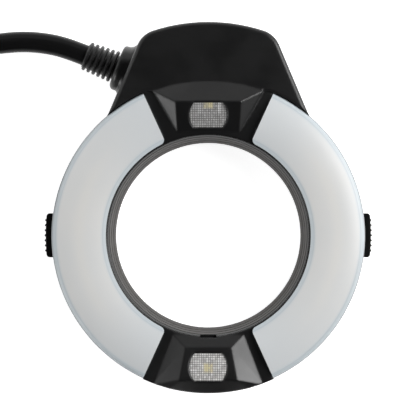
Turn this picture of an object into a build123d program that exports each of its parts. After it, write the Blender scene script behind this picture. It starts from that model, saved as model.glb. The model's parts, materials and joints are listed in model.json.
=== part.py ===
"""Macro ring flash head with its lead, lying on its back.

Millimetres. +Z is the optical axis, out of the front, +Y points to the hood and +X to the right
as seen from the front. The origin is the centre of the adapter recess on the rear face.
"""

import math
import os

from build123d import *

# Outline of the head
ring_radius = 54.6
hood_top = 74.2
hood_top_arc_radius = 62.3
hood_shoulder_half_width = 23.1
hood_side_angle = 22.9
hood_side_length = 42.0
hood_corner_radius = 8.7
hood_foot_radius = 1.6

# Levels along the optical axis
wall = 1.8
floor_thickness = 2.0
rear_depth = 16.5
ledge_thickness = 1.5
bridge_height = 22.0
hood_height = 22.6
edge_round = 1.5
rear_edge_round = 1.2
overrun = 1.0

# Bore: adapter recess at the rear, lens bore and funnel in front of it
recess_radius = 36.4
lens_bore_radius = 32.5
lens_land_length = 4.6
liner_wall = 1.1
liner_flange_radius = 38.8
liner_flange_thickness = 1.2
funnel_mouth_radius = 34.9
lip_radius = 35.0
lip_thickness = 1.0
funnel_groove_count = 3
funnel_groove_width = 0.5
funnel_groove_depth = 0.3
catch_slot_width = 5.6
catch_slot_depth = 0.45
catch_slot_height = 2.0

# Diffusers
bridge_half_angle = 24.6
diffuser_wall = 1.6
diffuser_end_angle = 1.9
diffuser_lip_step = 0.5
diffuser_inset = 0.2
diffuser_inner_radius = lip_radius + diffuser_lip_step
diffuser_outer_radius = ring_radius - diffuser_inset
diffuser_middle = (diffuser_inner_radius + diffuser_outer_radius) / 2
diffuser_crown_height = 24.2
diffuser_crown_offset = 0.55
diffuser_shoulder_height = 22.3
diffuser_shoulder_radius = 2.0
diffuser_inner_height = 23.1
diffuser_corner_radius = 1.8
diffuser_gap = 0.1
rim_inner_radius = 36.3
rim_outer_radius = 37.4
ledge_inner_radius = 52.0

# Raised lamp housings on the two bridges: half widths, places along Y and heights
upper_base_outer = (18.8, 49.9)
upper_base_inner = (10.9, 36.0)
upper_plateau_outer = 46.3
upper_plateau_inner = 35.6
upper_plateau_half_width = 11.3
upper_plateau_height = 25.7
upper_slope_end = 54.5
lower_base_outer = (18.9, 51.2)
lower_base_inner = (12.1, 33.9)
lower_plateau_outer = 49.6
lower_plateau_inner = 38.7
lower_plateau_outer_half_width = 11.9
lower_plateau_inner_half_width = 7.7
lower_plateau_inner_height = 24.1
lower_plateau_outer_height = 25.4
lower_inner_slope_start = 34.3
lower_outer_slope_end = 54.6
ridge_round = 0.5

# Lamp windows and lamps
window_width = 13.2
window_side_radius = 7.2
upper_window_height = 9.2
lower_window_height = 9.7
upper_window_center = 41.7
lower_window_center = 45.3
window_thickness = 1.2
window_recess = 0.25
window_gap = 0.1
window_ledge = 0.7
lamp_size = 3.6
lamp_thickness = 0.9
upper_lamp_center = 45.3
lower_lamp_center = 46.1
lamp_board_width = 9.0
lamp_board_length = 8.0
lamp_board_thickness = 1.0
lamp_board_level = 13.0
lamp_tower_wall = 1.2
lamp_bevel = 0.3
cup_wall = 0.4
cup_gap = 0.6
cup_corner_radius = 1.4
cup_foot_size = 5.2
cup_foot_corner_radius = 0.8
cup_top_gap = 0.3
lamp_board_corner_radius = 1.0
well_depth = 9.0

# Flash tubes and reflectors, along the middle of the diffusers
tube_circle_radius = diffuser_middle
tube_level = 15.0
tube_radius = 1.7
tube_half_angle = 54.0
cap_radius = 1.9
cap_angle = 5.5
cap_grip_angle = 1.2
holder_angle = 4.1
holder_half_width = 3.15
holder_top = 17.2
reflector_half_width = 6.25
reflector_top = 19.0
reflector_bottom = 11.3
reflector_wall = 0.5
reflector_end_angle = 0.3
reflector_bottom_share = 0.3
reflector_side_share = 0.78
reflector_side_height_share = 0.35

# Release yokes, buttons and springs
slide_gap = 0.2
yoke_thickness = 1.4
yoke_radius = 43.8
yoke_flat = 43.0
yoke_hole_radius = 36.8
release_travel = 2.5
claw_reach = 34.2
claw_half_width = 5.0
claw_ramp = 0.8
tongue_half_width = 6.0
tab_outer = 50.4
tab_thickness = 1.2
tab_top = 10.7
rail_thickness = 1.5
rail_half_length = 12.0
button_half_width = 7.75
button_face = 57.2
button_face_bulge = 0.4
button_corner_radius = 1.1
button_rear = 3.4
button_front = 10.4
button_rib_count = 7
button_rib_pitch = 1.78
button_rib_radius = 0.4
button_window_gap = 0.3
button_flange_half_width = 9.0
button_flange_rear = 2.3
button_flange_front = 11.0
button_flange_gap = 0.2
spring_radius = 1.6
spring_wire = 0.45
spring_turns = 3
spring_sides = 6
arcs_per_turn = 4
way_step = 0.0025
spring_level = 8.85
spring_end_gap = 0.1
spring_rib_face = 45.2
spring_rib_thickness = 1.2
spring_rib_half_width = 4.5
spring_rib_top = 10.8

# Inner frame
frame_thickness = 1.5
frame_radius = 51.6
frame_notch_depth = 46.3
frame_notch_half_width = 9.6
frame_post_radius = 2.4
frame_post_circle = 50.2
frame_post_angle = 45.0
frame_rib_thickness = 1.2
frame_rib_half_length = 5.3
frame_rib_angles = (22.0, 50.5)

# Screws and bosses
boss_radius = 2.6
boss_split = 12.5
bridge_boss_circle = 49.8
bridge_boss_angle = 19.0
hood_boss_inset = 5.8
hood_boss_drop = 4.16
screw_radius = 1.0
screw_head_radius = 1.9
screw_head_thickness = 1.5
screw_gap = 0.08
screw_head_level = 1.0
screw_tip_level = 17.5
frame_screw_depth = 3.0
socket_share = 0.5
socket_sides = 6
clamp_pilot_depth = 6.0

# Trigger board in the hood
board_left = -9.0
board_right = 13.6
board_low = 55.4
board_high = 66.4
board_level = 5.0
board_thickness = 1.2
board_post_radius = 1.7
board_post_inset = 2.0
board_corner_radius = 1.2
transformer_size = 6.5
transformer_height = 5.6
transformer_core_share = 0.6
transformer_x = 6.2
capacitor_radius = 2.8
capacitor_length = 9.0
capacitor_x = -2.6
capacitor_y = 60.9
capacitor_bevel = 0.35
small_screw_radius = 0.7
small_screw_head_radius = 1.4
small_screw_head_thickness = 0.9
small_screw_depth = 2.2

# Lead: where its axis crosses the hood's side, its direction, boss and boot
lead_radius = 3.6
lead_cross_x = -28.3
lead_cross_y = 57.4
lead_level = 8.5
lead_angle = 158.3
lead_boss_radius = 7.7
lead_boss_length = 4.3
lead_boss_round = 1.5
boot_core_radius = 4.3
boot_fin_count = 6
boot_fin_pitch = 1.9
boot_fin_thickness = 1.1
boot_fin_radius_first = 5.7
boot_fin_radius_last = 5.2
boot_fin_bevel = 0.3
boot_tip_length = 0.3
boot_collar_radius = 5.6
boot_collar_thickness = 1.8
boot_gap = 0.05
tail_depth = 9.4
clamp_place = 6.9
clamp_width = 3.4
clamp_length = 15.4
clamp_bottom = 11.0
clamp_top = 14.0
clamp_post_spread = 5.75
clamp_post_radius = 2.0
cradle_width = 6.0

# Coil of the put-away lead
lead_sides = 12
lead_lift = 0.9
coil_x = -119.0
coil_y = 21.9
coil_radius = 44.0
coil_pitch = 7.8
coil_turns = 2.25
coil_reverse_turn = 1.25
coil_climb_turns = 0.5
coil_run_in = 12.0
lead_run_out = 7.5
lead_run_in = 10.0
bend_share = 0.45
tie_wall = 0.5
tie_width = 8.0
tie_gap = 0.35
tie_turn = 0.75
coil_checks = 360

# Plug at the far end
plug_level = 6.5
plug_body_radius = 6.4
plug_body_length = 15.0
plug_boot_length = 11.0
plug_boot_tip_radius = 4.4
plug_boot_base_radius = 5.6
plug_shell_radius = 4.6
plug_shell_wall = 0.5
plug_shell_length = 7.5
plug_shell_depth = 2.0
plug_shell_step = 0.4
plug_pin_radius = 0.5
plug_pin_circle = 2.2
plug_pin_length = 5.0
plug_pin_count = 5
plug_grip_count = 12
plug_grip_radius = 0.5
plug_grip_margin = 3.0
plug_turn = 15.0
plug_shell_gap = 0.05
plug_boot_round = 0.5
plug_pin_bevel = 0.2

# Levels that follow from the sizes above
cover_start = rear_depth
ledge_top = cover_start + ledge_thickness
left_yoke_level = floor_thickness + slide_gap
right_yoke_level = left_yoke_level + yoke_thickness + slide_gap
frame_level = right_yoke_level + yoke_thickness + slide_gap
frame_top = frame_level + frame_thickness
lip_bottom = bridge_height - lip_thickness
land_top = frame_top + lens_land_length

bridge_bosses = [
    (bridge_boss_circle * math.sin(math.radians(turn)), bridge_boss_circle * math.cos(math.radians(turn)))
    for turn in (bridge_boss_angle, -bridge_boss_angle, 180 - bridge_boss_angle, 180 + bridge_boss_angle)
]
hood_arc_rise = math.sqrt(hood_top_arc_radius**2 - hood_shoulder_half_width**2)
shoulder_y = hood_top - hood_top_arc_radius + hood_arc_rise
hood_boss_x = hood_shoulder_half_width - hood_boss_inset
hood_boss_y = shoulder_y - hood_boss_drop
hood_bosses = [(hood_boss_x, hood_boss_y), (-hood_boss_x, hood_boss_y)]
all_bosses = bridge_bosses + hood_bosses

os.makedirs("parts", exist_ok=True)


def finish(piece, name):
    """Label a finished piece and write it to its own file."""
    piece.part.label = name
    export_step(piece.part, f"parts/{name}.step")


def ring_sector(inner, outer, start, span):
    """A flat piece of ring between two radii, from an angle on, in degrees."""
    with BuildSketch() as shape:
        with BuildLine():
            outside = CenterArc((0, 0), outer, start, span)
            inside = CenterArc((0, 0), inner, start, span)
            Line(outside @ 0, inside @ 0)
            Line(outside @ 1, inside @ 1)
        make_face()
    return shape.sketch


def both_sides(inner, outer, half_span):
    """The same sector on the left and on the right of the ring."""
    with BuildSketch() as shape:
        add(ring_sector(inner, outer, -half_span, 2 * half_span))
        add(ring_sector(inner, outer, 180 - half_span, 2 * half_span))
    return shape.sketch


def both_bridges(inner, outer, half_span):
    """The same sector at the top and at the bottom of the ring."""
    with BuildSketch() as shape:
        add(ring_sector(inner, outer, 90 - half_span, 2 * half_span))
        add(ring_sector(inner, outer, 270 - half_span, 2 * half_span))
    return shape.sketch


def barrel(width, height, side_radius):
    """A window outline: flat above and below, with round bulging sides."""
    with BuildSketch() as shape:
        Rectangle(width, height)
        with Locations((side_radius - width / 2, 0)):
            Circle(side_radius, mode=Mode.INTERSECT)
        with Locations((width / 2 - side_radius, 0)):
            Circle(side_radius, mode=Mode.INTERSECT)
    return shape.sketch


def plane_through(first, second, third):
    """A facet's plane through three points, with its normal pointing to the front."""
    across = Vector(*second) - Vector(*first)
    along = Vector(*third) - Vector(*first)
    normal = across.cross(along)
    if normal.Z < 0:
        normal = normal * -1
    return Plane(origin=Vector(*first), x_dir=across, z_dir=normal)


# The outline that the rear housing and the front cover share
foot_x = hood_shoulder_half_width + hood_side_length * math.sin(math.radians(hood_side_angle))
foot_y = shoulder_y - hood_side_length * math.cos(math.radians(hood_side_angle))
with BuildSketch() as hood_shape:
    with BuildLine():
        left_shoulder = (-hood_shoulder_half_width, shoulder_y)
        right_shoulder = (hood_shoulder_half_width, shoulder_y)
        hood_arc = ThreePointArc(left_shoulder, (0, hood_top), right_shoulder)
        Polyline(hood_arc @ 1, (foot_x, foot_y), (-foot_x, foot_y), hood_arc @ 0)
    make_face()
    fillet(hood_shape.vertices().group_by(Axis.Y)[-1], hood_corner_radius)
with BuildSketch() as outline:
    Circle(ring_radius)
    add(hood_shape.sketch)
    junctions = outline.vertices().filter_by(lambda v: foot_y < v.Y < shoulder_y - hood_corner_radius)
    junctions = junctions.filter_by(lambda v: abs(math.hypot(v.X, v.Y) - ring_radius) < wall)
    fillet(junctions, hood_foot_radius)
with BuildSketch() as inner_outline:
    add(outline.sketch)
    offset(amount=-wall, mode=Mode.REPLACE)

# Axis of the lead where it crosses the hood's side
lead_out = Vector(math.cos(math.radians(lead_angle)), math.sin(math.radians(lead_angle)), 0)
lead_across = Vector(-lead_out.Y, lead_out.X, 0)
lead_cross = Vector(lead_cross_x, lead_cross_y, lead_level)
lead_plane = Plane(origin=lead_cross, x_dir=lead_across, z_dir=lead_out)
clamp_center = lead_cross - lead_out * clamp_place
clamp_posts = [clamp_center + lead_across * clamp_post_spread * turn for turn in (1, -1)]
frame_posts = [
    (frame_post_circle * math.cos(math.radians(turn)), frame_post_circle * math.sin(math.radians(turn)))
    for turn in (frame_post_angle, 180 - frame_post_angle, 180 + frame_post_angle, -frame_post_angle)
]
board_posts = [
    (board_left + board_post_inset, board_low + board_post_inset),
    (board_right - board_post_inset, board_low + board_post_inset),
    (board_left + board_post_inset, board_high - board_post_inset),
    (board_right - board_post_inset, board_high - board_post_inset),
]

# Rear housing: the deep shell that carries everything
with BuildPart() as rear_housing:
    with BuildSketch():
        add(outline.sketch)
    extrude(amount=rear_depth)
    fillet(rear_housing.edges().group_by(Axis.Z)[0], rear_edge_round)
    with BuildSketch(Plane.XY.offset(floor_thickness)):
        add(inner_outline.sketch)
    extrude(amount=rear_depth, mode=Mode.SUBTRACT)
    with BuildSketch():
        Circle(recess_radius)
    extrude(amount=floor_thickness, mode=Mode.SUBTRACT)
    # Rails that guide the release yokes above and below the bore
    with BuildSketch(Plane.XY.offset(floor_thickness)):
        with GridLocations(0, 2 * (yoke_flat + slide_gap) + rail_thickness, 1, 2):
            Rectangle(2 * rail_half_length, rail_thickness)
    extrude(amount=frame_level - floor_thickness)
    # Posts under the inner frame
    with BuildSketch(Plane.XY.offset(floor_thickness)):
        with Locations(*frame_posts):
            Circle(frame_post_radius)
    extrude(amount=frame_level - floor_thickness)
    # Posts of the long housing screws
    with BuildSketch(Plane.XY.offset(floor_thickness)):
        with Locations(*all_bosses):
            Circle(boss_radius)
    extrude(amount=boss_split - floor_thickness)
    # Posts of the trigger board and of the cable clamp, and the cradle under the cable
    with BuildSketch(Plane.XY.offset(floor_thickness)):
        with Locations(*board_posts):
            Circle(board_post_radius)
    extrude(amount=board_level - floor_thickness)
    with BuildSketch(Plane.XY.offset(floor_thickness)):
        with Locations(*[(post.X, post.Y) for post in clamp_posts]):
            Circle(clamp_post_radius)
    extrude(amount=clamp_bottom - floor_thickness)
    cradle_origin = (clamp_center.X, clamp_center.Y, floor_thickness)
    with BuildSketch(Plane(origin=cradle_origin, x_dir=lead_out, z_dir=(0, 0, 1))):
        Rectangle(wall, cradle_width)
    extrude(amount=lead_level - floor_thickness)
    # Boss that the boot sits in
    with BuildSketch(lead_plane):
        Circle(lead_boss_radius)
    extrude(amount=lead_boss_length)
    fillet(rear_housing.faces().sort_by(Axis(lead_cross, lead_out))[-1].edges(), lead_boss_round)
    with BuildSketch(lead_plane.offset(-2 * wall)):
        Circle(boot_core_radius + boot_gap)
    extrude(amount=lead_boss_length + 2 * wall, mode=Mode.SUBTRACT)
    with BuildSketch(lead_plane.offset(-tail_depth - overrun)):
        Circle(lead_radius + boot_gap)
    extrude(amount=tail_depth + overrun, mode=Mode.SUBTRACT)
    # Windows of the two release buttons
    with BuildSketch(Plane.XY.offset(button_rear - button_window_gap)):
        Rectangle(4 * ring_radius, 2 * (button_half_width + button_window_gap))
        Circle(ring_radius - 2 * wall, mode=Mode.SUBTRACT)
    extrude(amount=button_front - button_rear + 2 * button_window_gap, mode=Mode.SUBTRACT)
    # Screw holes, with the heads sunk from behind
    with Locations(*[(x, y, 0) for x, y in all_bosses]):
        Hole(screw_radius + screw_gap)
    with BuildSketch():
        with Locations(*all_bosses):
            Circle(screw_head_radius + screw_gap)
    extrude(amount=screw_head_level + screw_head_thickness, mode=Mode.SUBTRACT)
    with BuildSketch(Plane.XY.offset(frame_level)):
        with Locations(*frame_posts):
            Circle(screw_radius + screw_gap)
    extrude(amount=-frame_screw_depth, mode=Mode.SUBTRACT)
    with BuildSketch(Plane.XY.offset(board_level)):
        with Locations(*board_posts):
            Circle(small_screw_radius + screw_gap)
    extrude(amount=-small_screw_depth, mode=Mode.SUBTRACT)
    with BuildSketch(Plane.XY.offset(clamp_bottom)):
        with Locations(*[(post.X, post.Y) for post in clamp_posts]):
            Circle(screw_radius + screw_gap)
    extrude(amount=-clamp_pilot_depth, mode=Mode.SUBTRACT)
finish(rear_housing, "rear_housing")

# Front cover: ledge ring, inner rim, two bridges, hood and the raised lamp housings
diffuser_half_span = 90 - bridge_half_angle
opening_half_span = diffuser_half_span - diffuser_end_angle
bridge_cavity_angle = bridge_half_angle - math.degrees(wall / tube_circle_radius)


def raised_block(base, cuts):
    """A block on a bridge, cut down by the planes of its facets."""
    with BuildPart() as block:
        with BuildSketch(Plane.XY.offset(lip_bottom)):
            with BuildLine():
                Polyline(*base, close=True)
            make_face()
        extrude(amount=upper_plateau_height + wall)
        for cut in cuts:
            split(bisect_by=cut, keep=Keep.BOTTOM)
        ridges = block.edges().filter_by(lambda e: e.center().Z > bridge_height + wall / 2)
        fillet(ridges, ridge_round)
    return block.part


upper_side_cuts = [
    plane_through(
        (turn * upper_base_outer[0], upper_base_outer[1], bridge_height),
        (turn * upper_base_inner[0], upper_base_inner[1], bridge_height),
        (turn * upper_plateau_half_width, upper_plateau_outer, upper_plateau_height),
    )
    for turn in (-1, 1)
]
upper_plateau = plane_through(
    (-upper_plateau_half_width, upper_plateau_inner, bridge_height),
    (upper_plateau_half_width, upper_plateau_inner, bridge_height),
    (0, upper_plateau_outer, upper_plateau_height),
)
upper_slope = plane_through(
    (-upper_plateau_half_width, upper_plateau_outer, upper_plateau_height),
    (upper_plateau_half_width, upper_plateau_outer, upper_plateau_height),
    (0, upper_slope_end, bridge_height),
)
lower_side_cuts = [
    plane_through(
        (turn * lower_base_outer[0], -lower_base_outer[1], bridge_height),
        (turn * lower_base_inner[0], -lower_base_inner[1], bridge_height),
        (turn * lower_plateau_outer_half_width, -lower_plateau_outer, lower_plateau_outer_height),
    )
    for turn in (-1, 1)
]
lower_plateau = plane_through(
    (-lower_plateau_outer_half_width, -lower_plateau_outer, lower_plateau_outer_height),
    (lower_plateau_outer_half_width, -lower_plateau_outer, lower_plateau_outer_height),
    (0, -lower_plateau_inner, lower_plateau_inner_height),
)
lower_inner_slope = plane_through(
    (-lower_plateau_inner_half_width, -lower_plateau_inner, lower_plateau_inner_height),
    (lower_plateau_inner_half_width, -lower_plateau_inner, lower_plateau_inner_height),
    (0, -lower_inner_slope_start, bridge_height),
)
lower_outer_slope = plane_through(
    (-lower_plateau_outer_half_width, -lower_plateau_outer, lower_plateau_outer_height),
    (lower_plateau_outer_half_width, -lower_plateau_outer, lower_plateau_outer_height),
    (0, -lower_outer_slope_end, bridge_height),
)
upper_block = raised_block(
    [
        (-upper_base_outer[0], upper_slope_end),
        (-upper_base_outer[0], upper_base_outer[1]),
        (-upper_base_inner[0], upper_base_inner[1]),
        (upper_base_inner[0], upper_base_inner[1]),
        (upper_base_outer[0], upper_base_outer[1]),
        (upper_base_outer[0], upper_slope_end),
    ],
    [upper_plateau, upper_slope] + upper_side_cuts,
)
lower_block = raised_block(
    [
        (-lower_base_outer[0], -lower_base_outer[1]),
        (-lower_base_inner[0], -lower_base_inner[1]),
        (lower_base_inner[0], -lower_base_inner[1]),
        (lower_base_outer[0], -lower_base_outer[1]),
        (lower_base_outer[0], -lower_outer_slope_end),
        (-lower_base_outer[0], -lower_outer_slope_end),
    ],
    [lower_plateau, lower_inner_slope, lower_outer_slope] + lower_side_cuts,
)


def window_plane(plateau, center_y):
    """The plateau's plane, moved along it so that its origin lies at the window's centre."""
    height = plateau.origin.Z - (center_y - plateau.origin.Y) * plateau.z_dir.Y / plateau.z_dir.Z
    return Plane(origin=(0, center_y, height), x_dir=(1, 0, 0), z_dir=plateau.z_dir)


upper_window_plane = window_plane(upper_plateau, upper_window_center)
lower_window_plane = window_plane(lower_plateau, -lower_window_center)
window_seats = [(upper_window_plane, upper_window_height), (lower_window_plane, lower_window_height)]

with BuildPart() as front_cover:
    # Hood with a rounded front edge, and the ledge ring that goes on round the head
    with BuildSketch(Plane.XY.offset(cover_start)):
        add(outline.sketch)
    extrude(amount=hood_height - cover_start)
    fillet(front_cover.edges().group_by(Axis.Z)[-1], edge_round)
    with BuildSketch(Plane.XY.offset(ledge_top)):
        Circle(ring_radius)
    extrude(amount=hood_height - ledge_top, mode=Mode.SUBTRACT)
    with BuildSketch(Plane.XY.offset(cover_start)):
        Circle(rim_inner_radius)
    extrude(amount=ledge_thickness, mode=Mode.SUBTRACT)
    # Inner rim with the lip over the liner, and the two bridges
    with BuildSketch(Plane.XY.offset(cover_start)):
        Circle(rim_outer_radius)
        Circle(rim_inner_radius, mode=Mode.SUBTRACT)
    extrude(amount=bridge_height - cover_start)
    with BuildSketch(Plane.XY.offset(lip_bottom)):
        Circle(rim_outer_radius)
        Circle(lip_radius, mode=Mode.SUBTRACT)
    extrude(amount=lip_thickness)
    with BuildSketch(Plane.XY.offset(cover_start)):
        add(both_bridges(rim_inner_radius, ring_radius, bridge_half_angle))
    extrude(amount=bridge_height - cover_start)
    add(upper_block)
    add(lower_block)
    # Round everything off at the ring and at the bore
    with BuildSketch(Plane.XY.offset(cover_start)):
        add(outline.sketch)
        Circle(lip_radius, mode=Mode.SUBTRACT)
    extrude(amount=upper_plateau_height, mode=Mode.INTERSECT)
    # Openings under the diffusers, and the hollows of the bridges and of the hood
    with BuildSketch(Plane.XY.offset(cover_start)):
        add(both_sides(rim_outer_radius, ledge_inner_radius, opening_half_span))
    extrude(amount=ledge_thickness, mode=Mode.SUBTRACT)
    with BuildSketch(Plane.XY.offset(cover_start)):
        add(both_bridges(rim_outer_radius + wall, ledge_inner_radius, bridge_cavity_angle))
    extrude(amount=bridge_height - wall - cover_start, mode=Mode.SUBTRACT)
    with BuildSketch(Plane.XY.offset(cover_start)):
        add(inner_outline.sketch)
        Circle(ring_radius, mode=Mode.SUBTRACT)
    extrude(amount=hood_height - wall - cover_start, mode=Mode.SUBTRACT)
    # Window seats and the light wells behind them
    for seat_plane, window_height in window_seats:
        with BuildSketch(seat_plane):
            add(barrel(window_width, window_height, window_side_radius))
        extrude(amount=-(window_thickness + window_recess), mode=Mode.SUBTRACT)
        with BuildSketch(seat_plane):
            well_height = window_height - 2 * window_ledge
            add(barrel(window_width - 2 * window_ledge, well_height, window_side_radius))
        extrude(amount=-well_depth, mode=Mode.SUBTRACT)
    # Slot for a fingernail in the lip
    with BuildSketch(Plane.XY.offset(lip_bottom)):
        with Locations((0, -lip_radius)):
            Rectangle(catch_slot_width, 2 * catch_slot_depth)
    extrude(amount=bridge_height - lip_bottom + wall, mode=Mode.SUBTRACT)
    # Bosses that take the housing screws
    for places, ceiling in ((bridge_bosses, bridge_height - wall), (hood_bosses, hood_height - wall)):
        with BuildSketch(Plane.XY.offset(boss_split)):
            with Locations(*places):
                Circle(boss_radius)
        extrude(amount=ceiling - boss_split)
    with BuildSketch(Plane.XY.offset(boss_split)):
        with Locations(*all_bosses):
            Circle(screw_radius + screw_gap)
    extrude(amount=screw_tip_level + overrun - boss_split, mode=Mode.SUBTRACT)
finish(front_cover, "front_cover")

# Diffusers: two opal shells with closed ends
def shoulder_order(vertex):
    """How far a profile's corner lies from the shoulder, seen as a local point of the sketch."""
    return math.hypot(vertex.X - diffuser_outer_radius, vertex.Y - diffuser_shoulder_height)


def diffuser_profile(hollow):
    """Half of the shell's section, in radius and height; hollow leaves the wall only."""
    inner_seat = rim_outer_radius + diffuser_gap
    under_crown = diffuser_crown_height - diffuser_wall
    with BuildSketch(Plane.XZ) as profile:
        with BuildLine():
            shoulder = (diffuser_outer_radius, diffuser_shoulder_height)
            skirt = Line((diffuser_outer_radius, ledge_top), shoulder)
            dome = ThreePointArc(
                skirt @ 1,
                (diffuser_middle + diffuser_crown_offset, diffuser_crown_height),
                (diffuser_inner_radius, diffuser_inner_height),
            )
            lip = Line(dome @ 1, (diffuser_inner_radius, bridge_height))
            if hollow:
                seat = Line(lip @ 1, (inner_seat, bridge_height))
                under = ThreePointArc(
                    seat @ 1,
                    (diffuser_middle + diffuser_crown_offset, under_crown),
                    (diffuser_outer_radius - diffuser_wall, diffuser_shoulder_height - diffuser_wall),
                )
                Polyline(under @ 1, (diffuser_outer_radius - diffuser_wall, ledge_top), skirt @ 0)
            else:
                Polyline(lip @ 1, (inner_seat, bridge_height), (inner_seat, ledge_top), skirt @ 0)
        make_face()
        fillet(profile.vertices().sort_by(shoulder_order)[0], diffuser_shoulder_radius)
    return profile.sketch


def make_diffuser(middle, name):
    """One diffuser around the middle angle of its side."""
    with BuildPart() as shell:
        add(diffuser_profile(True).rotate(Axis.Z, middle - diffuser_half_span))
        revolve(axis=Axis.Z, revolution_arc=2 * diffuser_half_span)
        for start in (middle - diffuser_half_span, middle + diffuser_half_span - diffuser_end_angle):
            add(diffuser_profile(False).rotate(Axis.Z, start))
            revolve(axis=Axis.Z, revolution_arc=diffuser_end_angle)
        corners = shell.edges().filter_by(Axis.Z)
        corner_limit = diffuser_inner_radius + diffuser_gap
        corners = corners.filter_by(lambda e: math.hypot(e.center().X, e.center().Y) < corner_limit)
        fillet(corners, diffuser_corner_radius)
    finish(shell, name)


make_diffuser(180, "left_diffuser")
make_diffuser(0, "right_diffuser")

# Bore liner: land, funnel with fine grooves, and the flange that stands on the inner frame
with BuildPart() as bore_liner:
    with BuildSketch(Plane.XZ):
        with BuildLine():
            Polyline(
                (lens_bore_radius, frame_top),
                (lens_bore_radius, land_top),
                (funnel_mouth_radius, lip_bottom),
                (funnel_mouth_radius + liner_wall, lip_bottom),
                (lens_bore_radius + liner_wall, land_top),
                (lens_bore_radius + liner_wall, frame_top + liner_flange_thickness),
                (liner_flange_radius, frame_top + liner_flange_thickness),
                (liner_flange_radius, frame_top),
                close=True,
            )
        make_face()
    revolve(axis=Axis.Z)
    # Grooves are spread evenly up the funnel
    funnel_rise = (lip_bottom - land_top) / (funnel_groove_count + 1)
    funnel_flare = (funnel_mouth_radius - lens_bore_radius) / (funnel_groove_count + 1)
    for step in range(1, funnel_groove_count + 1):
        with BuildSketch(Plane.XY.offset(land_top + step * funnel_rise)):
            Circle(lens_bore_radius + step * funnel_flare + funnel_groove_depth)
        extrude(amount=funnel_groove_width, mode=Mode.SUBTRACT)
    with BuildSketch(Plane.XY.offset(lip_bottom)):
        with Locations((0, -funnel_mouth_radius)):
            Rectangle(catch_slot_width, 2 * catch_slot_depth)
    extrude(amount=-catch_slot_height, mode=Mode.SUBTRACT)
finish(bore_liner, "bore_liner")

# Inner frame: the plate that closes the release yokes in and carries the light engine
lamp_places = [upper_lamp_center, -lower_lamp_center]
frame_rib_turns = [
    middle + turn * step for middle in (0, 180) for turn in frame_rib_angles for step in (-1, 1)
]
with BuildPart() as inner_frame:
    with BuildSketch(Plane.XY.offset(frame_level)):
        Circle(frame_radius)
        Circle(recess_radius, mode=Mode.SUBTRACT)
        with Locations(*bridge_bosses):
            Circle(boss_radius + slide_gap, mode=Mode.SUBTRACT)
        with Locations(*frame_posts):
            Circle(screw_radius + screw_gap, mode=Mode.SUBTRACT)
        notch_length = frame_radius - frame_notch_depth + overrun
        for turn in (-1, 1):
            with Locations((turn * (frame_notch_depth + notch_length / 2), 0)):
                Rectangle(notch_length, 2 * frame_notch_half_width, mode=Mode.SUBTRACT)
    extrude(amount=frame_thickness)
    # Walls that the button springs push against
    with BuildSketch(Plane.XY.offset(frame_top)):
        with GridLocations(2 * spring_rib_face - spring_rib_thickness, 0, 2, 1):
            Rectangle(spring_rib_thickness, 2 * spring_rib_half_width)
    extrude(amount=spring_rib_top - frame_top)
    # Ribs under the reflectors, the tube holders' feet and the lamp towers
    with BuildSketch(Plane.XY.offset(frame_top)):
        for turn in frame_rib_turns:
            with PolarLocations(tube_circle_radius, 1, turn):
                Rectangle(2 * frame_rib_half_length, frame_rib_thickness)
    extrude(amount=reflector_bottom - frame_top)
    with BuildSketch(Plane.XY.offset(frame_top)):
        with Locations(*[(0, place) for place in lamp_places]):
            Rectangle(lamp_board_width, lamp_board_length)
            Rectangle(
                lamp_board_width - 2 * lamp_tower_wall,
                lamp_board_length - 2 * lamp_tower_wall,
                mode=Mode.SUBTRACT,
            )
        Circle(frame_radius, mode=Mode.INTERSECT)
    extrude(amount=lamp_board_level - frame_top)
finish(inner_frame, "inner_frame")


# Lamp windows, lamps and their boards
def make_window(plane, height, name):
    """A clear window, seated a little below its plateau."""
    with BuildPart() as window:
        with BuildSketch(plane.offset(-window_recess)):
            add(barrel(window_width - 2 * window_gap, height - 2 * window_gap, window_side_radius))
        extrude(amount=-window_thickness)
    finish(window, name)


def make_lamp(center_y, side):
    """A lamp and the small board under it."""
    board_top = lamp_board_level + lamp_board_thickness
    with BuildPart() as board:
        with BuildSketch(Plane.XY.offset(lamp_board_level)):
            with Locations((0, center_y)):
                RectangleRounded(lamp_board_width, lamp_board_length, lamp_board_corner_radius)
        extrude(amount=lamp_board_thickness)
    finish(board, f"{side}_lamp_board")
    with BuildPart() as lamp:
        with BuildSketch(Plane.XY.offset(board_top)):
            with Locations((0, center_y)):
                Rectangle(lamp_size, lamp_size)
        extrude(amount=lamp_thickness)
        chamfer(lamp.edges().group_by(Axis.Z)[-1], lamp_bevel)
    finish(lamp, f"{side}_lamp_led")


def make_cup(plane, height, center_y, name):
    """The bright cup between a lamp and its window: wide under the window, narrow round the lamp."""
    mouth = plane.offset(-(window_recess + window_thickness + cup_top_gap))
    board_plane = Plane.XY.offset(lamp_board_level + lamp_board_thickness)
    mouth_width = window_width - 2 * (window_ledge + cup_gap)
    mouth_height = height - 2 * (window_ledge + cup_gap)
    with BuildPart() as cup:
        for inset, mode in ((0, Mode.ADD), (cup_wall, Mode.SUBTRACT)):
            with BuildSketch(board_plane) as foot:
                with Locations((0, center_y)):
                    foot_size = cup_foot_size - 2 * inset
                    RectangleRounded(foot_size, foot_size, cup_foot_corner_radius - inset)
            with BuildSketch(mouth) as rim:
                corner = cup_corner_radius - inset
                RectangleRounded(mouth_width - 2 * inset, mouth_height - 2 * inset, corner)
            loft([foot.sketch, rim.sketch], ruled=True, mode=mode)
    finish(cup, name)


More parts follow.
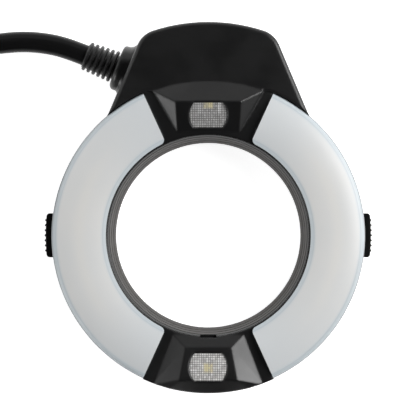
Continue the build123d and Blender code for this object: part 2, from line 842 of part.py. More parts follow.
make_window(upper_window_plane, upper_window_height, "upper_lamp_window")
make_window(lower_window_plane, lower_window_height, "lower_lamp_window")
make_cup(upper_window_plane, upper_window_height, upper_lamp_center, "upper_lamp_cup")
make_cup(lower_window_plane, lower_window_height, -lower_lamp_center, "lower_lamp_cup")
make_lamp(upper_lamp_center, "upper")
make_lamp(-lower_lamp_center, "lower")


# Flash tubes, their end caps and holders, and the reflectors behind them
def tube_circle(radius):
    """The tube's round section at angle zero."""
    with BuildSketch(Plane.XZ) as section:
        with Locations((tube_circle_radius, tube_level)):
            Circle(radius)
    return section.sketch


def trough_points(inset):
    """Fold points of one face of the trough, from its inner edge to its outer edge."""
    side_height = reflector_bottom + reflector_side_height_share * (reflector_top - reflector_bottom)
    folds = [
        (reflector_half_width, reflector_top),
        (reflector_side_share * reflector_half_width, side_height + inset),
        (reflector_bottom_share * reflector_half_width, reflector_bottom + inset),
    ]
    near = [(tube_circle_radius - half_width + inset, height) for half_width, height in folds]
    far = [(2 * tube_circle_radius - radius, height) for radius, height in reversed(near)]
    return near + far


def reflector_profile():
    """A trough folded from sheet, open to the front."""
    with BuildSketch(Plane.XZ) as profile:
        with BuildLine():
            Polyline(*trough_points(0), *reversed(trough_points(reflector_wall)), close=True)
        make_face()
    return profile.sketch


def make_light(middle, side):
    """Everything behind one diffuser."""
    holder_start = tube_half_angle + cap_angle - cap_grip_angle
    holder_end = holder_start + holder_angle
    holder_inner = tube_circle_radius - holder_half_width
    holder_outer = tube_circle_radius + holder_half_width
    reflector_half_angle = holder_start - reflector_end_angle
    with BuildPart() as tube:
        add(tube_circle(tube_radius).rotate(Axis.Z, middle - tube_half_angle))
        revolve(axis=Axis.Z, revolution_arc=2 * tube_half_angle)
    finish(tube, f"{side}_flash_tube")
    with BuildPart() as caps:
        for start in (middle - tube_half_angle - cap_angle, middle + tube_half_angle):
            add(tube_circle(cap_radius).rotate(Axis.Z, start))
            revolve(axis=Axis.Z, revolution_arc=cap_angle)
    finish(caps, f"{side}_tube_caps")
    with BuildPart() as holders:
        for start in (middle - holder_end, middle + holder_start):
            with BuildSketch(Plane.XY.offset(frame_top)):
                add(ring_sector(holder_inner, holder_outer, start, holder_angle))
            extrude(amount=holder_top - frame_top)
        pocket_span = 2 * (tube_half_angle + cap_angle) + diffuser_gap
        add(tube_circle(cap_radius + boot_gap).rotate(Axis.Z, middle - pocket_span / 2))
        revolve(axis=Axis.Z, revolution_arc=pocket_span, mode=Mode.SUBTRACT)
    finish(holders, f"{side}_tube_holders")
    with BuildPart() as reflector:
        add(reflector_profile().rotate(Axis.Z, middle - reflector_half_angle))
        revolve(axis=Axis.Z, revolution_arc=2 * reflector_half_angle)
    finish(reflector, f"{side}_reflector")


make_light(180, "left")
make_light(0, "right")


# Release buttons, yokes and springs; side is minus one on the left and one on the right
def make_button(side, yoke_top, name):
    """A button that slides in its window, with the flange that keeps it in and a foot on the yoke."""
    with BuildPart() as button:
        with BuildSketch(Plane.XY.offset(button_rear)):
            with BuildLine():
                edge_x = side * (button_face - button_face_bulge)
                face = ThreePointArc(
                    (edge_x, -button_half_width),
                    (side * button_face, 0),
                    (edge_x, button_half_width),
                )
                back_x = side * tab_outer
                Polyline(face @ 1, (back_x, button_half_width), (back_x, -button_half_width), face @ 0)
            make_face()
        extrude(amount=button_front - button_rear)
        outer_corners = button.edges().filter_by(Axis.Z).group_by(Axis.X)[0 if side < 0 else -1]
        fillet(outer_corners, button_corner_radius)
        fillet(button.edges().filter_by(GeomType.CIRCLE), button_face_bulge)
        with BuildSketch(Plane.XY.offset(button_rear + button_rib_radius)):
            for step in range(button_rib_count):
                rib_y = (step - (button_rib_count - 1) / 2) * button_rib_pitch
                rib_x = button_face - button_face_bulge * (rib_y / button_half_width) ** 2
                with Locations((side * rib_x, rib_y)):
                    Circle(button_rib_radius)
        extrude(amount=button_front - button_rear - 2 * button_rib_radius)
        with BuildSketch(Plane.XY.offset(button_flange_rear)):
            flange_depth = ring_radius - wall - tab_outer
            with Locations((side * (tab_outer + flange_depth / 2), 0)):
                Rectangle(flange_depth, 2 * button_flange_half_width)
            Circle(ring_radius - wall - button_flange_gap, mode=Mode.INTERSECT)
        extrude(amount=button_flange_front - button_flange_rear)
        with BuildSketch(Plane.XY.offset(yoke_top)):
            with Locations((side * (tab_outer - tab_thickness / 2), 0)):
                Rectangle(tab_thickness, 2 * tongue_half_width)
        extrude(amount=tab_top - yoke_top)
    finish(button, name)


def make_yoke(side, level, name):
    """A flat yoke round the bore: a tongue under its button, a claw on the far side."""
    with BuildPart() as yoke:
        with BuildSketch(Plane.XY.offset(level)):
            Circle(yoke_radius)
            Rectangle(4 * yoke_radius, 2 * yoke_flat, mode=Mode.INTERSECT)
            with Locations((side * tab_outer / 2, 0)):
                Rectangle(tab_outer, 2 * tongue_half_width)
            Circle(yoke_hole_radius, mode=Mode.SUBTRACT)
            with Locations((side * release_travel, 0)):
                Circle(yoke_hole_radius, mode=Mode.SUBTRACT)
            with Locations((side * release_travel / 2, 0)):
                Rectangle(release_travel, 2 * yoke_hole_radius, mode=Mode.SUBTRACT)
            claw_length = yoke_hole_radius + yoke_thickness - claw_reach
            with Locations((-side * (claw_reach + claw_length / 2), 0)):
                Rectangle(claw_length, 2 * claw_half_width)
        extrude(amount=yoke_thickness)
        claw_edge = yoke.edges().filter_by(Axis.Y).sort_by(
            lambda e: math.hypot(e.center().X + side * claw_reach, e.center().Z - level)
        )[0]
        chamfer(claw_edge, claw_ramp)
    finish(yoke, name)


def arc_pair(start, start_way, end, end_way):
    """Two arcs that leave start along one direction and reach end along another."""
    gap = end - start
    ways = start_way + end_way
    spread = 2 * (1 - start_way.dot(end_way))
    reach = (-gap.dot(ways) + math.sqrt(gap.dot(ways) ** 2 + spread * gap.dot(gap))) / spread
    meet = (start + end + (start_way - end_way) * reach) / 2
    first = TangentArc(start, meet, tangent=start_way)
    TangentArc(meet, end, tangent=first % 1)


def wound_path(point_at, turns):
    """A smooth path through points of a winding, and its points and directions."""
    steps = round(turns * arcs_per_turn)
    stops = [turns * step / steps for step in range(steps + 1)]
    points = [point_at(stop) for stop in stops]
    ways = [(point_at(stop + way_step) - point_at(stop - way_step)).normalized() for stop in stops]
    with BuildLine() as path:
        for step in range(steps):
            arc_pair(points[step], ways[step], points[step + 1], ways[step + 1])
    return path.line, points, ways


def make_spring(side, name):
    """A compression spring between the frame's wall and the button's tab."""
    inner_end = spring_rib_face + spring_end_gap + spring_wire / 2
    outer_end = tab_outer - tab_thickness - spring_end_gap - spring_wire / 2

    def point_at(turn):
        place = inner_end + (outer_end - inner_end) * turn / spring_turns
        angle = 2 * math.pi * turn
        return Vector(
            side * place,
            spring_radius * math.cos(angle),
            spring_level + spring_radius * math.sin(angle),
        )

    path, points, ways = wound_path(point_at, spring_turns)
    with BuildPart() as spring:
        with BuildSketch(Plane(origin=points[0], z_dir=ways[0])):
            RegularPolygon(spring_wire / 2, spring_sides)
        sweep(path=path)
    finish(spring, name)


make_button(-1, left_yoke_level + yoke_thickness, "left_release_button")
make_button(1, right_yoke_level + yoke_thickness, "right_release_button")
make_yoke(-1, left_yoke_level, "left_release_slider")
make_yoke(1, right_yoke_level, "right_release_slider")
make_spring(-1, "left_button_spring")
make_spring(1, "right_button_spring")


# Screws: each kind is one group of separate solids
def make_screws(places, head_level, tip_level, radius, head_radius, head_thickness, name):
    """Round-headed screws; the head lies at head_level and the shank runs to tip_level."""
    toward = 1 if tip_level > head_level else -1
    with BuildPart() as screws:
        with BuildSketch(Plane.XY.offset(head_level)):
            with Locations(*places):
                Circle(head_radius)
        extrude(amount=toward * head_thickness)
        with BuildSketch(Plane.XY.offset(head_level + toward * head_thickness)):
            with Locations(*places):
                Circle(radius)
        extrude(amount=tip_level - head_level - toward * head_thickness)
        with BuildSketch(Plane.XY.offset(head_level)):
            with Locations(*places):
                RegularPolygon(head_radius * socket_share, socket_sides)
        extrude(amount=toward * head_thickness * socket_share, mode=Mode.SUBTRACT)
    finish(screws, name)


board_top = board_level + board_thickness
make_screws(
    all_bosses,
    screw_head_level,
    screw_tip_level,
    screw_radius,
    screw_head_radius,
    screw_head_thickness,
    "housing_screws",
)
make_screws(
    frame_posts,
    frame_top + screw_head_thickness,
    frame_level - frame_screw_depth + screw_gap,
    screw_radius,
    screw_head_radius,
    screw_head_thickness,
    "frame_screws",
)
make_screws(
    board_posts,
    board_top + small_screw_head_thickness,
    board_level - small_screw_depth + screw_gap,
    small_screw_radius,
    small_screw_head_radius,
    small_screw_head_thickness,
    "board_screws",
)
make_screws(
    [(post.X, post.Y) for post in clamp_posts],
    clamp_top + screw_head_thickness,
    clamp_bottom - frame_screw_depth,
    screw_radius,
    screw_head_radius,
    screw_head_thickness,
    "clamp_screws",
)

# Trigger board with its transformer and capacitor
with BuildPart() as trigger_board:
    with BuildSketch(Plane.XY.offset(board_level)):
        with Locations(((board_left + board_right) / 2, (board_low + board_high) / 2)):
            RectangleRounded(board_right - board_left, board_high - board_low, board_corner_radius)
        with Locations(*board_posts):
            Circle(small_screw_radius + screw_gap, mode=Mode.SUBTRACT)
    extrude(amount=board_thickness)
finish(trigger_board, "trigger_board")

with BuildPart() as trigger_transformer:
    core_width = transformer_size * transformer_core_share
    with BuildSketch(Plane.XY.offset(board_top)):
        with Locations((transformer_x, capacitor_y)):
            Rectangle(core_width, transformer_size)
    extrude(amount=transformer_height)
    with BuildSketch(Plane.XY.offset(board_top)):
        with Locations((transformer_x, capacitor_y)):
            Rectangle(transformer_size, core_width)
    extrude(amount=transformer_height * transformer_core_share)
finish(trigger_transformer, "trigger_transformer")

with BuildPart() as trigger_capacitor:
    capacitor_start = (capacitor_x - capacitor_length / 2, capacitor_y, board_top + capacitor_radius)
    with BuildSketch(Plane(origin=capacitor_start, z_dir=(1, 0, 0))):
        Circle(capacitor_radius)
    extrude(amount=capacitor_length)
    chamfer(trigger_capacitor.edges().group_by(Axis.X)[0], capacitor_bevel)
finish(trigger_capacitor, "trigger_capacitor")

# Ribbed boot: a collar inside the wall, a spigot through the boss, and tapering fins outside
boot_start = -wall - slide_gap
boot_end = lead_boss_length + boot_fin_count * boot_fin_pitch + boot_tip_length
with BuildPart() as cable_boot:
    with BuildSketch(lead_plane.offset(boot_start - boot_collar_thickness)):
        Circle(boot_collar_radius)
    extrude(amount=boot_collar_thickness)
    with BuildSketch(lead_plane.offset(boot_start)):
        Circle(boot_core_radius)
    extrude(amount=boot_end - boot_start)
    fin_gap = boot_fin_pitch - boot_fin_thickness
    for step in range(boot_fin_count):
        shrink = (boot_fin_radius_first - boot_fin_radius_last) * step / (boot_fin_count - 1)
        fin_start = lead_boss_length + fin_gap + step * boot_fin_pitch
        with BuildSketch(lead_plane.offset(fin_start)):
            Circle(boot_fin_radius_first - shrink)
        extrude(amount=boot_fin_thickness)
    fin_rims = cable_boot.edges().filter_by(
        lambda e: e.geom_type == GeomType.CIRCLE and e.radius > boot_fin_radius_last - boot_gap
    )
    fin_rims = fin_rims.filter_by(lambda e: (e.arc_center - lead_cross).dot(lead_out) > lead_boss_length)
    chamfer(fin_rims, boot_fin_bevel)
    with BuildSketch(lead_plane.offset(boot_start - boot_collar_thickness)):
        Circle(lead_radius + boot_gap)
    extrude(amount=boot_end - boot_start + boot_collar_thickness, mode=Mode.SUBTRACT)
finish(cable_boot, "cable_boot")

# Tail of the cable, from inside the hood to the boot's end, and the clamp that holds it
with BuildPart() as cable_tail:
    with BuildSketch(lead_plane.offset(-tail_depth)):
        Circle(lead_radius)
    extrude(amount=tail_depth + boot_end)
finish(cable_tail, "cable_tail")

with BuildPart() as cable_clamp:
    clamp_origin = (clamp_center.X, clamp_center.Y, clamp_bottom)
    with BuildSketch(Plane(origin=clamp_origin, x_dir=lead_out, z_dir=(0, 0, 1))):
        Rectangle(clamp_width, clamp_length)
        with Locations((0, clamp_post_spread), (0, -clamp_post_spread)):
            Circle(screw_radius + screw_gap, mode=Mode.SUBTRACT)
    extrude(amount=clamp_top - clamp_bottom)
    with BuildSketch(lead_plane.offset(-clamp_place - clamp_width)):
        Circle(lead_radius + boot_gap)
    extrude(amount=2 * clamp_width, mode=Mode.SUBTRACT)
finish(cable_clamp, "cable_clamp")

# Route of the free lead. From the boot it comes down to the floor and runs left into the coil.
lead_exit = lead_cross + lead_out * boot_end
coil_level = lead_radius + lead_lift


def coil_point(turn):
    """A point of the coil, by turns from its start at the top of the bottom layer."""
    if turn < coil_reverse_turn:
        radius = coil_radius - coil_pitch * turn
    else:
        radius = coil_radius - coil_pitch * (2 * coil_reverse_turn - turn)
    climb = (turn - coil_reverse_turn) / coil_climb_turns + 1 / 2
    climb = min(max(climb, 0), 1)
    climb = climb * climb * (3 - 2 * climb)
    angle = math.pi / 2 + 2 * math.pi * turn
    return Vector(
        coil_x + radius * math.cos(angle),
        coil_y + radius * math.sin(angle),
        coil_level + coil_pitch * climb,
    )


coil_path, coil_points, coil_ways = wound_path(coil_point, coil_turns)
coil_start = coil_points[0]
coil_end = coil_points[-1]
coil_end_way = coil_ways[-1]

cable_route = [
    lead_exit,
    lead_exit + lead_out * lead_run_out,
    Vector(-57.8, 67.75, 8.45),
    Vector(-66.0, 68.35, 7.6),
    Vector(-74.8, 67.55, 6.5),
    Vector(-84.5, 66.75, 5.6),
    Vector(-95.5, 66.4, 4.8),
    coil_start - coil_ways[0] * coil_run_in,
    coil_start,
]
plug_start = Vector(-154.5, -30.3, plug_level)
plug_way = Vector(math.sin(math.radians(plug_turn)), -math.cos(math.radians(plug_turn)), 0)
cable_lead_route = [
    coil_end,
    coil_end + coil_end_way * lead_run_in,
    Vector(-160.9, 0.9, 10.7),
    Vector(-159.4, -10.3, 8.5),
    plug_start - plug_way * lead_run_in,
    plug_start,
]


def route_radii(route):
    """The radius of each turn: as large as the two runs beside it allow."""
    radii = []
    for before, here, after in zip(route, route[1:], route[2:]):
        shorter = min((here - before).length, (after - here).length)
        half_turn = math.radians((here - before).get_angle(after - here)) / 2
        radii.append(bend_share * shorter / math.tan(half_turn))
    return radii


def lead_section(origin, way):
    """The cable's section, with a flat side below."""
    with BuildSketch(Plane(origin=origin, x_dir=way.cross(Vector(0, 0, 1)), z_dir=way)) as section:
        RegularPolygon(lead_radius, lead_sides, rotation=180 / lead_sides)
    return section.sketch


def report_tube(name, path, solid):
    """Print a tube's volume against its section times its length, and return the length."""
    length = sum(edge.length for edge in path.edges())
    area = lead_section(Vector(0, 0, 0), Vector(1, 0, 0)).area
    ratio = solid.volume / (area * length)
    print(f"{name}: length {length:.1f} mm, volume over section times length {ratio:.4f}")
    return length


def make_lead(route, name):
    """A free stretch of cable along its route."""
    radii = route_radii(route)
    with BuildLine() as path:
        FilletPolyline(*route, radius=radii)
    with BuildPart() as tube:
        add(lead_section(route[0], (route[1] - route[0]).normalized()))
        sweep(path=path.line)
    print(f"{name}: radii", ", ".join(f"{radius:.0f}" for radius in radii))
    finish(tube, name)
    return report_tube(name, path.line, tube.part)


free_length = make_lead(cable_route, "cable") + make_lead(cable_lead_route, "cable_lead")

# Coil: one unbroken tube of two layers
with BuildPart() as cable_coil:
    add(lead_section(coil_start, coil_ways[0]))
    sweep(path=coil_path)
coil_length = report_tube("cable_coil", coil_path, cable_coil.part)
print(f"lead: {free_length + coil_length:.0f} mm from the boot to the plug")
coil_samples = [coil_point(coil_turns * step / coil_checks) for step in range(coil_checks + 1)]
far_apart = 2 * math.pi * coil_radius / 3
sample_step = (coil_samples[1] - coil_samples[0]).length
least = min(
    (coil_samples[first] - coil_samples[second]).length
    for first in range(len(coil_samples))
    for second in range(first + round(far_apart / sample_step), len(coil_samples))
)
print(f"cable_coil: least gap to itself {least - 2 * lead_radius:.2f} mm")
finish(cable_coil, "cable_coil")

# Tie: a strap round the two layers on the coil's right side
tie_center = coil_point(tie_turn)
tie_upper = coil_point(tie_turn + 1)
tie_half_width = lead_radius + tie_gap + tie_wall
with BuildPart() as cable_tie:
    tie_middle = Vector((tie_center.X + tie_upper.X) / 2, coil_y, (tie_center.Z + tie_upper.Z) / 2)
    tie_rise = tie_upper.Z - tie_center.Z
    with BuildSketch(Plane(origin=tie_middle, x_dir=(1, 0, 0), z_dir=(0, 1, 0))):
        RectangleRounded(2 * tie_half_width, tie_rise + 2 * tie_half_width, tie_half_width - tie_gap)
        offset(amount=-tie_wall, mode=Mode.SUBTRACT)
    extrude(amount=tie_width / 2, both=True)
finish(cable_tie, "cable_tie")

# Plug: boot, gripped body, metal shell and pins, along the lead's last direction
plug_plane = Plane(origin=plug_start, x_dir=Vector(plug_way.Y, -plug_way.X, 0), z_dir=plug_way)
with BuildPart() as plug_boot:
    with BuildSketch(plug_plane):
        Circle(plug_boot_tip_radius)
    with BuildSketch(plug_plane.offset(plug_boot_length)):
        Circle(plug_boot_base_radius)
    loft()
    fillet(plug_boot.edges().sort_by(Axis(plug_start, plug_way))[0], plug_boot_round)
finish(plug_boot, "plug_boot")

plug_body_start = plug_plane.offset(plug_boot_length)
with BuildPart() as plug_body:
    with BuildSketch(plug_body_start):
        Circle(plug_body_radius)
    extrude(amount=plug_body_length)
    chamfer(plug_body.edges().filter_by(GeomType.CIRCLE), plug_grip_radius)
    with BuildSketch(plug_body_start.offset(plug_grip_margin)):
        with PolarLocations(plug_body_radius, plug_grip_count):
            Circle(plug_grip_radius)
    extrude(amount=plug_body_length - 2 * plug_grip_margin, mode=Mode.SUBTRACT)
    with BuildSketch(plug_body_start.offset(plug_body_length - plug_shell_depth)):
        Circle(plug_shell_radius - plug_shell_step + plug_shell_gap)
    extrude(amount=plug_shell_depth, mode=Mode.SUBTRACT)
finish(plug_body, "plug_body")

plug_shell_start = plug_body_start.offset(plug_body_length - plug_shell_depth)
with BuildPart() as plug_shell:
    with BuildSketch(plug_shell_start):
        Circle(plug_shell_radius - plug_shell_step)
    extrude(amount=plug_shell_depth)
    with BuildSketch(plug_shell_start.offset(plug_shell_depth)):
        Circle(plug_shell_radius)
    extrude(amount=plug_shell_length)
    with BuildSketch(plug_shell_start.offset(plug_shell_depth)):
        Circle(plug_shell_radius - plug_shell_wall)
    extrude(amount=plug_shell_length, mode=Mode.SUBTRACT)
finish(plug_shell, "plug_shell")

with BuildPart() as plug_pins:
    with BuildSketch(plug_shell_start.offset(plug_shell_depth)):
        with PolarLocations(plug_pin_circle, plug_pin_count):
            Circle(plug_pin_radius)
    extrude(amount=plug_pin_length)
    chamfer(plug_pins.edges().group_by(Axis(plug_start, plug_way))[-1], plug_pin_bevel)
finish(plug_pins, "plug_pins")
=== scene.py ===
"""Looks of the macro ring flash.

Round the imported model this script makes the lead, the front cover with its real corners, the boss collar, the
prism windows, the strap and the springs, and then the finishes, the floor, the lights and the camera.
Metres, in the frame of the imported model: +Z is the optical axis, +Y points to the hood.
"""

import json
import math

import bpy
from mathutils import Matrix, Vector


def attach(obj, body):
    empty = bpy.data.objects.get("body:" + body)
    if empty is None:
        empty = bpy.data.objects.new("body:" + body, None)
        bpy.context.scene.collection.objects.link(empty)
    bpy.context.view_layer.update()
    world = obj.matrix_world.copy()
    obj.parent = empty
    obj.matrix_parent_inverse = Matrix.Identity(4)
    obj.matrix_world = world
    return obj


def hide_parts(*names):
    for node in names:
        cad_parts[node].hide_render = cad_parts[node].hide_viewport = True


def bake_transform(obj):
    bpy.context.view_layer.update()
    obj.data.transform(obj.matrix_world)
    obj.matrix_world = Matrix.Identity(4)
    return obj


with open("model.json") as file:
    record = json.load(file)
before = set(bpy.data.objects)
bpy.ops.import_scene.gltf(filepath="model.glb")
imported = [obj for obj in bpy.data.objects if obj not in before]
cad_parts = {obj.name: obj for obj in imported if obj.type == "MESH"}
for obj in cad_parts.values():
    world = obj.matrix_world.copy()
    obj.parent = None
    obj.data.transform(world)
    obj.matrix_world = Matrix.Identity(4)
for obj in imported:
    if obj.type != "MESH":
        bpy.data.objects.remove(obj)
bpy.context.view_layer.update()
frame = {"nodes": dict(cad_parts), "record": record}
nodes = frame["nodes"]
scene = bpy.context.scene
scene.view_settings.view_transform = "Standard"

# Camera: straight above, with its axis a little above the ring's centre
CAMERA_PLACE = (-0.0001, 0.0096, 0.8146)
CAMERA_LENS = 198.0
CAMERA_SENSOR = 36.0

bpy.ops.object.camera_add(location=CAMERA_PLACE, rotation=(0, 0, 0))
camera = bpy.context.object
camera.name = "camera"
camera.data.lens = CAMERA_LENS
camera.data.sensor_width = CAMERA_SENSOR
camera.data.clip_start = 0.01
camera.data.clip_end = 20
scene.camera = camera

# Lead: from the boot's end down to the floor, round the coil and on to the plug
LEAD_RADIUS = 0.0037
LEAD_ANGLE = math.radians(158.3)
LEAD_CROSS = Vector((-0.0283, 0.0574, 0.0085))
BOOT_END = 0.016
RUN_OUT = 0.0075
WAY_TO_COIL = (
    (-0.0578, 0.06775, 0.00845),
    (-0.0660, 0.06835, 0.0076),
    (-0.0748, 0.06755, 0.0065),
    (-0.0845, 0.06675, 0.0056),
    (-0.0955, 0.0664, 0.0048),
)
COIL_CENTRE = (-0.119, 0.0219)
COIL_RADIUS = 0.044
COIL_PITCH = 0.0078
COIL_LEVEL = 0.0045
COIL_TURNS = 2.25
COIL_REVERSE = 1.25
COIL_CLIMB = 0.5
COIL_POINTS_PER_TURN = 16
COIL_RUN_IN = 0.012
SMALL_TURN = 0.001
WAY_TO_PLUG = ((-0.1609, 0.0009, 0.0107), (-0.1594, -0.0103, 0.0085))
STRAIGHT_RUN = 0.010
PLUG_START = Vector((-0.1545, -0.0303, 0.0065))
PLUG_TURN = math.radians(15)


def coil_point(turn, spread=1.0):
    """A point of the coil, by turns from its start at the far side of the bottom layer."""
    inward = turn if turn < COIL_REVERSE else 2 * COIL_REVERSE - turn
    radius = (COIL_RADIUS - COIL_PITCH * inward) * spread
    climb = min(max((turn - COIL_REVERSE) / COIL_CLIMB + 0.5, 0), 1)
    climb = climb * climb * (3 - 2 * climb)
    angle = math.pi / 2 + 2 * math.pi * turn
    x = COIL_CENTRE[0] + radius * math.cos(angle)
    y = COIL_CENTRE[1] + radius * math.sin(angle)
    return Vector((x, y, COIL_LEVEL + COIL_PITCH * climb))


def coil_way(turn):
    """The coil's direction at a turn."""
    return (coil_point(turn + SMALL_TURN) - coil_point(turn - SMALL_TURN)).normalized()


def lead_route():
    """All of the lead's control points, from the boot to the plug."""
    out = Vector((math.cos(LEAD_ANGLE), math.sin(LEAD_ANGLE), 0))
    exit_point = LEAD_CROSS + out * BOOT_END
    points = [exit_point, exit_point + out * RUN_OUT]
    points += [Vector(point) for point in WAY_TO_COIL]
    points += [coil_point(0) - coil_way(0) * COIL_RUN_IN]
    # A control point stands a little outside the curve that it bends
    spread = 1 / math.cos(math.pi / COIL_POINTS_PER_TURN)
    steps = round(COIL_TURNS * COIL_POINTS_PER_TURN)
    points += [coil_point((step + 0.5) / COIL_POINTS_PER_TURN, spread) for step in range(steps)]
    points += [coil_point(COIL_TURNS) + coil_way(COIL_TURNS) * STRAIGHT_RUN]
    points += [Vector(point) for point in WAY_TO_PLUG]
    plug_way = Vector((math.sin(PLUG_TURN), -math.cos(PLUG_TURN), 0))
    points += [PLUG_START - plug_way * STRAIGHT_RUN, PLUG_START]
    return points


def make_lead():
    """The free lead as one smooth round curve, and the point where it leaves the boot."""
    curve = bpy.data.curves.new("lead", "CURVE")
    curve.dimensions = "3D"
    # The bevel is a unit circle and each point has the real radius, which keeps the curve's own box right
    curve.bevel_depth = 1
    curve.bevel_resolution = 6
    curve.resolution_u = 6
    curve.use_fill_caps = True
    points = lead_route()
    spline = curve.splines.new("NURBS")
    spline.points.add(len(points) - 1)
    for place, point in zip(spline.points, points):
        place.co = (*point, 1)
        place.radius = LEAD_RADIUS
    spline.order_u = 3
    spline.use_endpoint_u = True
    lead = bpy.data.objects.new("lead", curve)
    scene.collection.objects.link(lead)
    return lead, points[0]


lead, lead_exit = make_lead()
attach(lead, "head")
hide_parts("cable", "cable_coil", "cable_lead")

# Shader helpers


def new_group(name, inputs, outputs):
    """An empty shader node group with named float or vector sockets."""
    group = bpy.data.node_groups.new(name, "ShaderNodeTree")
    kinds = {"value": "NodeSocketFloat", "vector": "NodeSocketVector"}
    for label, kind in inputs:
        group.interface.new_socket(label, in_out="INPUT", socket_type=kinds[kind])
    for label, kind in outputs:
        group.interface.new_socket(label, in_out="OUTPUT", socket_type=kinds[kind])
    entry = group.nodes.new("NodeGroupInput")
    leave = group.nodes.new("NodeGroupOutput")
    return group, entry, leave


def connect(tree, source, target):
    """Link two sockets of a node tree."""
    tree.links.new(source, target)


def math_node(tree, operation, first, second=None, clamp=False):
    """A math node fed by sockets or plain numbers."""
    node = tree.nodes.new("ShaderNodeMath")
    node.operation = operation
    node.use_clamp = clamp
    for socket, value in zip(node.inputs, (first, second)):
        if value is None:
            continue
        if isinstance(value, (int, float)):
            socket.default_value = value
        else:
            connect(tree, value, socket)
    return node.outputs[0]


def distance_node(tree, value, centre):
    """How far a value is from a centre."""
    return math_node(tree, "ABSOLUTE", math_node(tree, "SUBTRACT", value, centre))


def range_node(tree, value, low, high, to_low=0.0, to_high=1.0):
    """A smooth step from one range to another."""
    node = tree.nodes.new("ShaderNodeMapRange")
    node.interpolation_type = "SMOOTHSTEP"
    connect(tree, value, node.inputs["Value"])
    node.inputs["From Min"].default_value = low
    node.inputs["From Max"].default_value = high
    node.inputs["To Min"].default_value = to_low
    node.inputs["To Max"].default_value = to_high
    return node.outputs["Result"]


def noise_node(tree, vector, scale, detail, roughness):
    """A noise texture in a place's own coordinates."""
    node = tree.nodes.new("ShaderNodeTexNoise")
    node.inputs["Scale"].default_value = scale
    node.inputs["Detail"].default_value = detail
    node.inputs["Roughness"].default_value = roughness
    connect(tree, vector, node.inputs["Vector"])
    return node.outputs["Fac"]


def parts_node(tree, vector):
    """The X, Y and Z of a vector, as sockets by name."""
    node = tree.nodes.new("ShaderNodeSeparateXYZ")
    connect(tree, vector, node.inputs[0])
    return node.outputs


def stretch_node(tree, vector, scale, rotation=(0, 0, 0)):
    """A place stretched along its axes, for lines that run one way."""
    node = tree.nodes.new("ShaderNodeMapping")
    node.inputs["Rotation"].default_value = rotation
    node.inputs["Scale"].default_value = scale
    connect(tree, vector, node.inputs["Vector"])
    return node.outputs["Vector"]


def mix_colors(tree, share, first, second):
    """Blend two colours, each a socket or a plain colour."""
    node = tree.nodes.new("ShaderNodeMix")
    node.data_type = "RGBA"
    connect(tree, share, node.inputs["Factor"])
    color_inputs = [socket for socket in node.inputs if socket.type == "RGBA"]
    for socket, value in zip(color_inputs, (first, second)):
        if isinstance(value, tuple):
            socket.default_value = (*value, 1)
        else:
            connect(tree, value, socket)
    return [socket for socket in node.outputs if socket.type == "RGBA"][0]


# Shared effects, each a node group


def build_moulded_grain():
    """Spark-eroded skin of a moulding: a fine even grain with a slow ripple under it."""
    group, entry, leave = new_group("moulded_grain", [("Place", "vector")], [("Height", "value")])
    fine = noise_node(group, entry.outputs["Place"], scale=5200, detail=3, roughness=0.6)
    slow = noise_node(group, entry.outputs["Place"], scale=240, detail=2, roughness=0.5)
    faint = math_node(group, "MULTIPLY", slow, 0.6)
    connect(group, math_node(group, "ADD", fine, faint), leave.inputs["Height"])
    return group


def build_handling():
    """Where hands have polished or dulled the surface: soft clouds crossed by hairlines."""
    group, entry, leave = new_group("handling", [("Place", "vector")], [("Marks", "value")])
    clouds = noise_node(group, entry.outputs["Place"], scale=46, detail=4, roughness=0.55)
    clouds = range_node(group, clouds, 0.35, 0.7)
    stretched = stretch_node(group, entry.outputs["Place"], scale=(60, 900, 900), rotation=(0.2, 0.4, 0.7))
    hairlines = noise_node(group, stretched, scale=1, detail=1, roughness=0.4)
    hairlines = range_node(group, hairlines, 0.66, 0.74, 0, 0.5)
    connect(group, math_node(group, "ADD", clouds, hairlines, True), leave.inputs["Marks"])
    return group


def build_round_place():
    """Distance from the optical axis, angle from the nearer side (0 at the sides), and level."""
    outputs = [("Radius", "value"), ("Angle", "value"), ("Level", "value")]
    group, entry, leave = new_group("round_place", [("Place", "vector")], outputs)
    parts = parts_node(group, entry.outputs["Place"])
    across = math_node(group, "ABSOLUTE", parts["X"])
    along = math_node(group, "ABSOLUTE", parts["Y"])
    across_squared = math_node(group, "MULTIPLY", across, across)
    along_squared = math_node(group, "MULTIPLY", along, along)
    squares = math_node(group, "ADD", across_squared, along_squared)
    connect(group, math_node(group, "SQRT", squares), leave.inputs["Radius"])
    connect(group, math_node(group, "ARCTAN2", along, across), leave.inputs["Angle"])
    connect(group, parts["Z"], leave.inputs["Level"])
    return group


def build_edge_wear():
    """A mask of the edges, where a moulding's skin is rubbed brighter."""
    inputs = [("Reach", "value"), ("Place", "vector")]
    group, entry, leave = new_group("edge_wear", inputs, [("Edge", "value")])
    rounded = group.nodes.new("ShaderNodeBevel")
    rounded.samples = 4
    connect(group, entry.outputs["Reach"], rounded.inputs["Radius"])
    true_normal = group.nodes.new("ShaderNodeNewGeometry")
    turn = group.nodes.new("ShaderNodeVectorMath")
    turn.operation = "DOT_PRODUCT"
    connect(group, rounded.outputs["Normal"], turn.inputs[0])
    connect(group, true_normal.outputs["Normal"], turn.inputs[1])
    bend = range_node(group, turn.outputs["Value"], 0.995, 0.86)
    broken = noise_node(group, entry.outputs["Place"], scale=320, detail=3, roughness=0.6)
    broken = range_node(group, broken, 0.3, 0.7, 0.35, 1)
    connect(group, math_node(group, "MULTIPLY", bend, broken), leave.inputs["Edge"])
    return group


grain_group = build_moulded_grain()
handling_group = build_handling()
round_group = build_round_place()
edge_group = build_edge_wear()

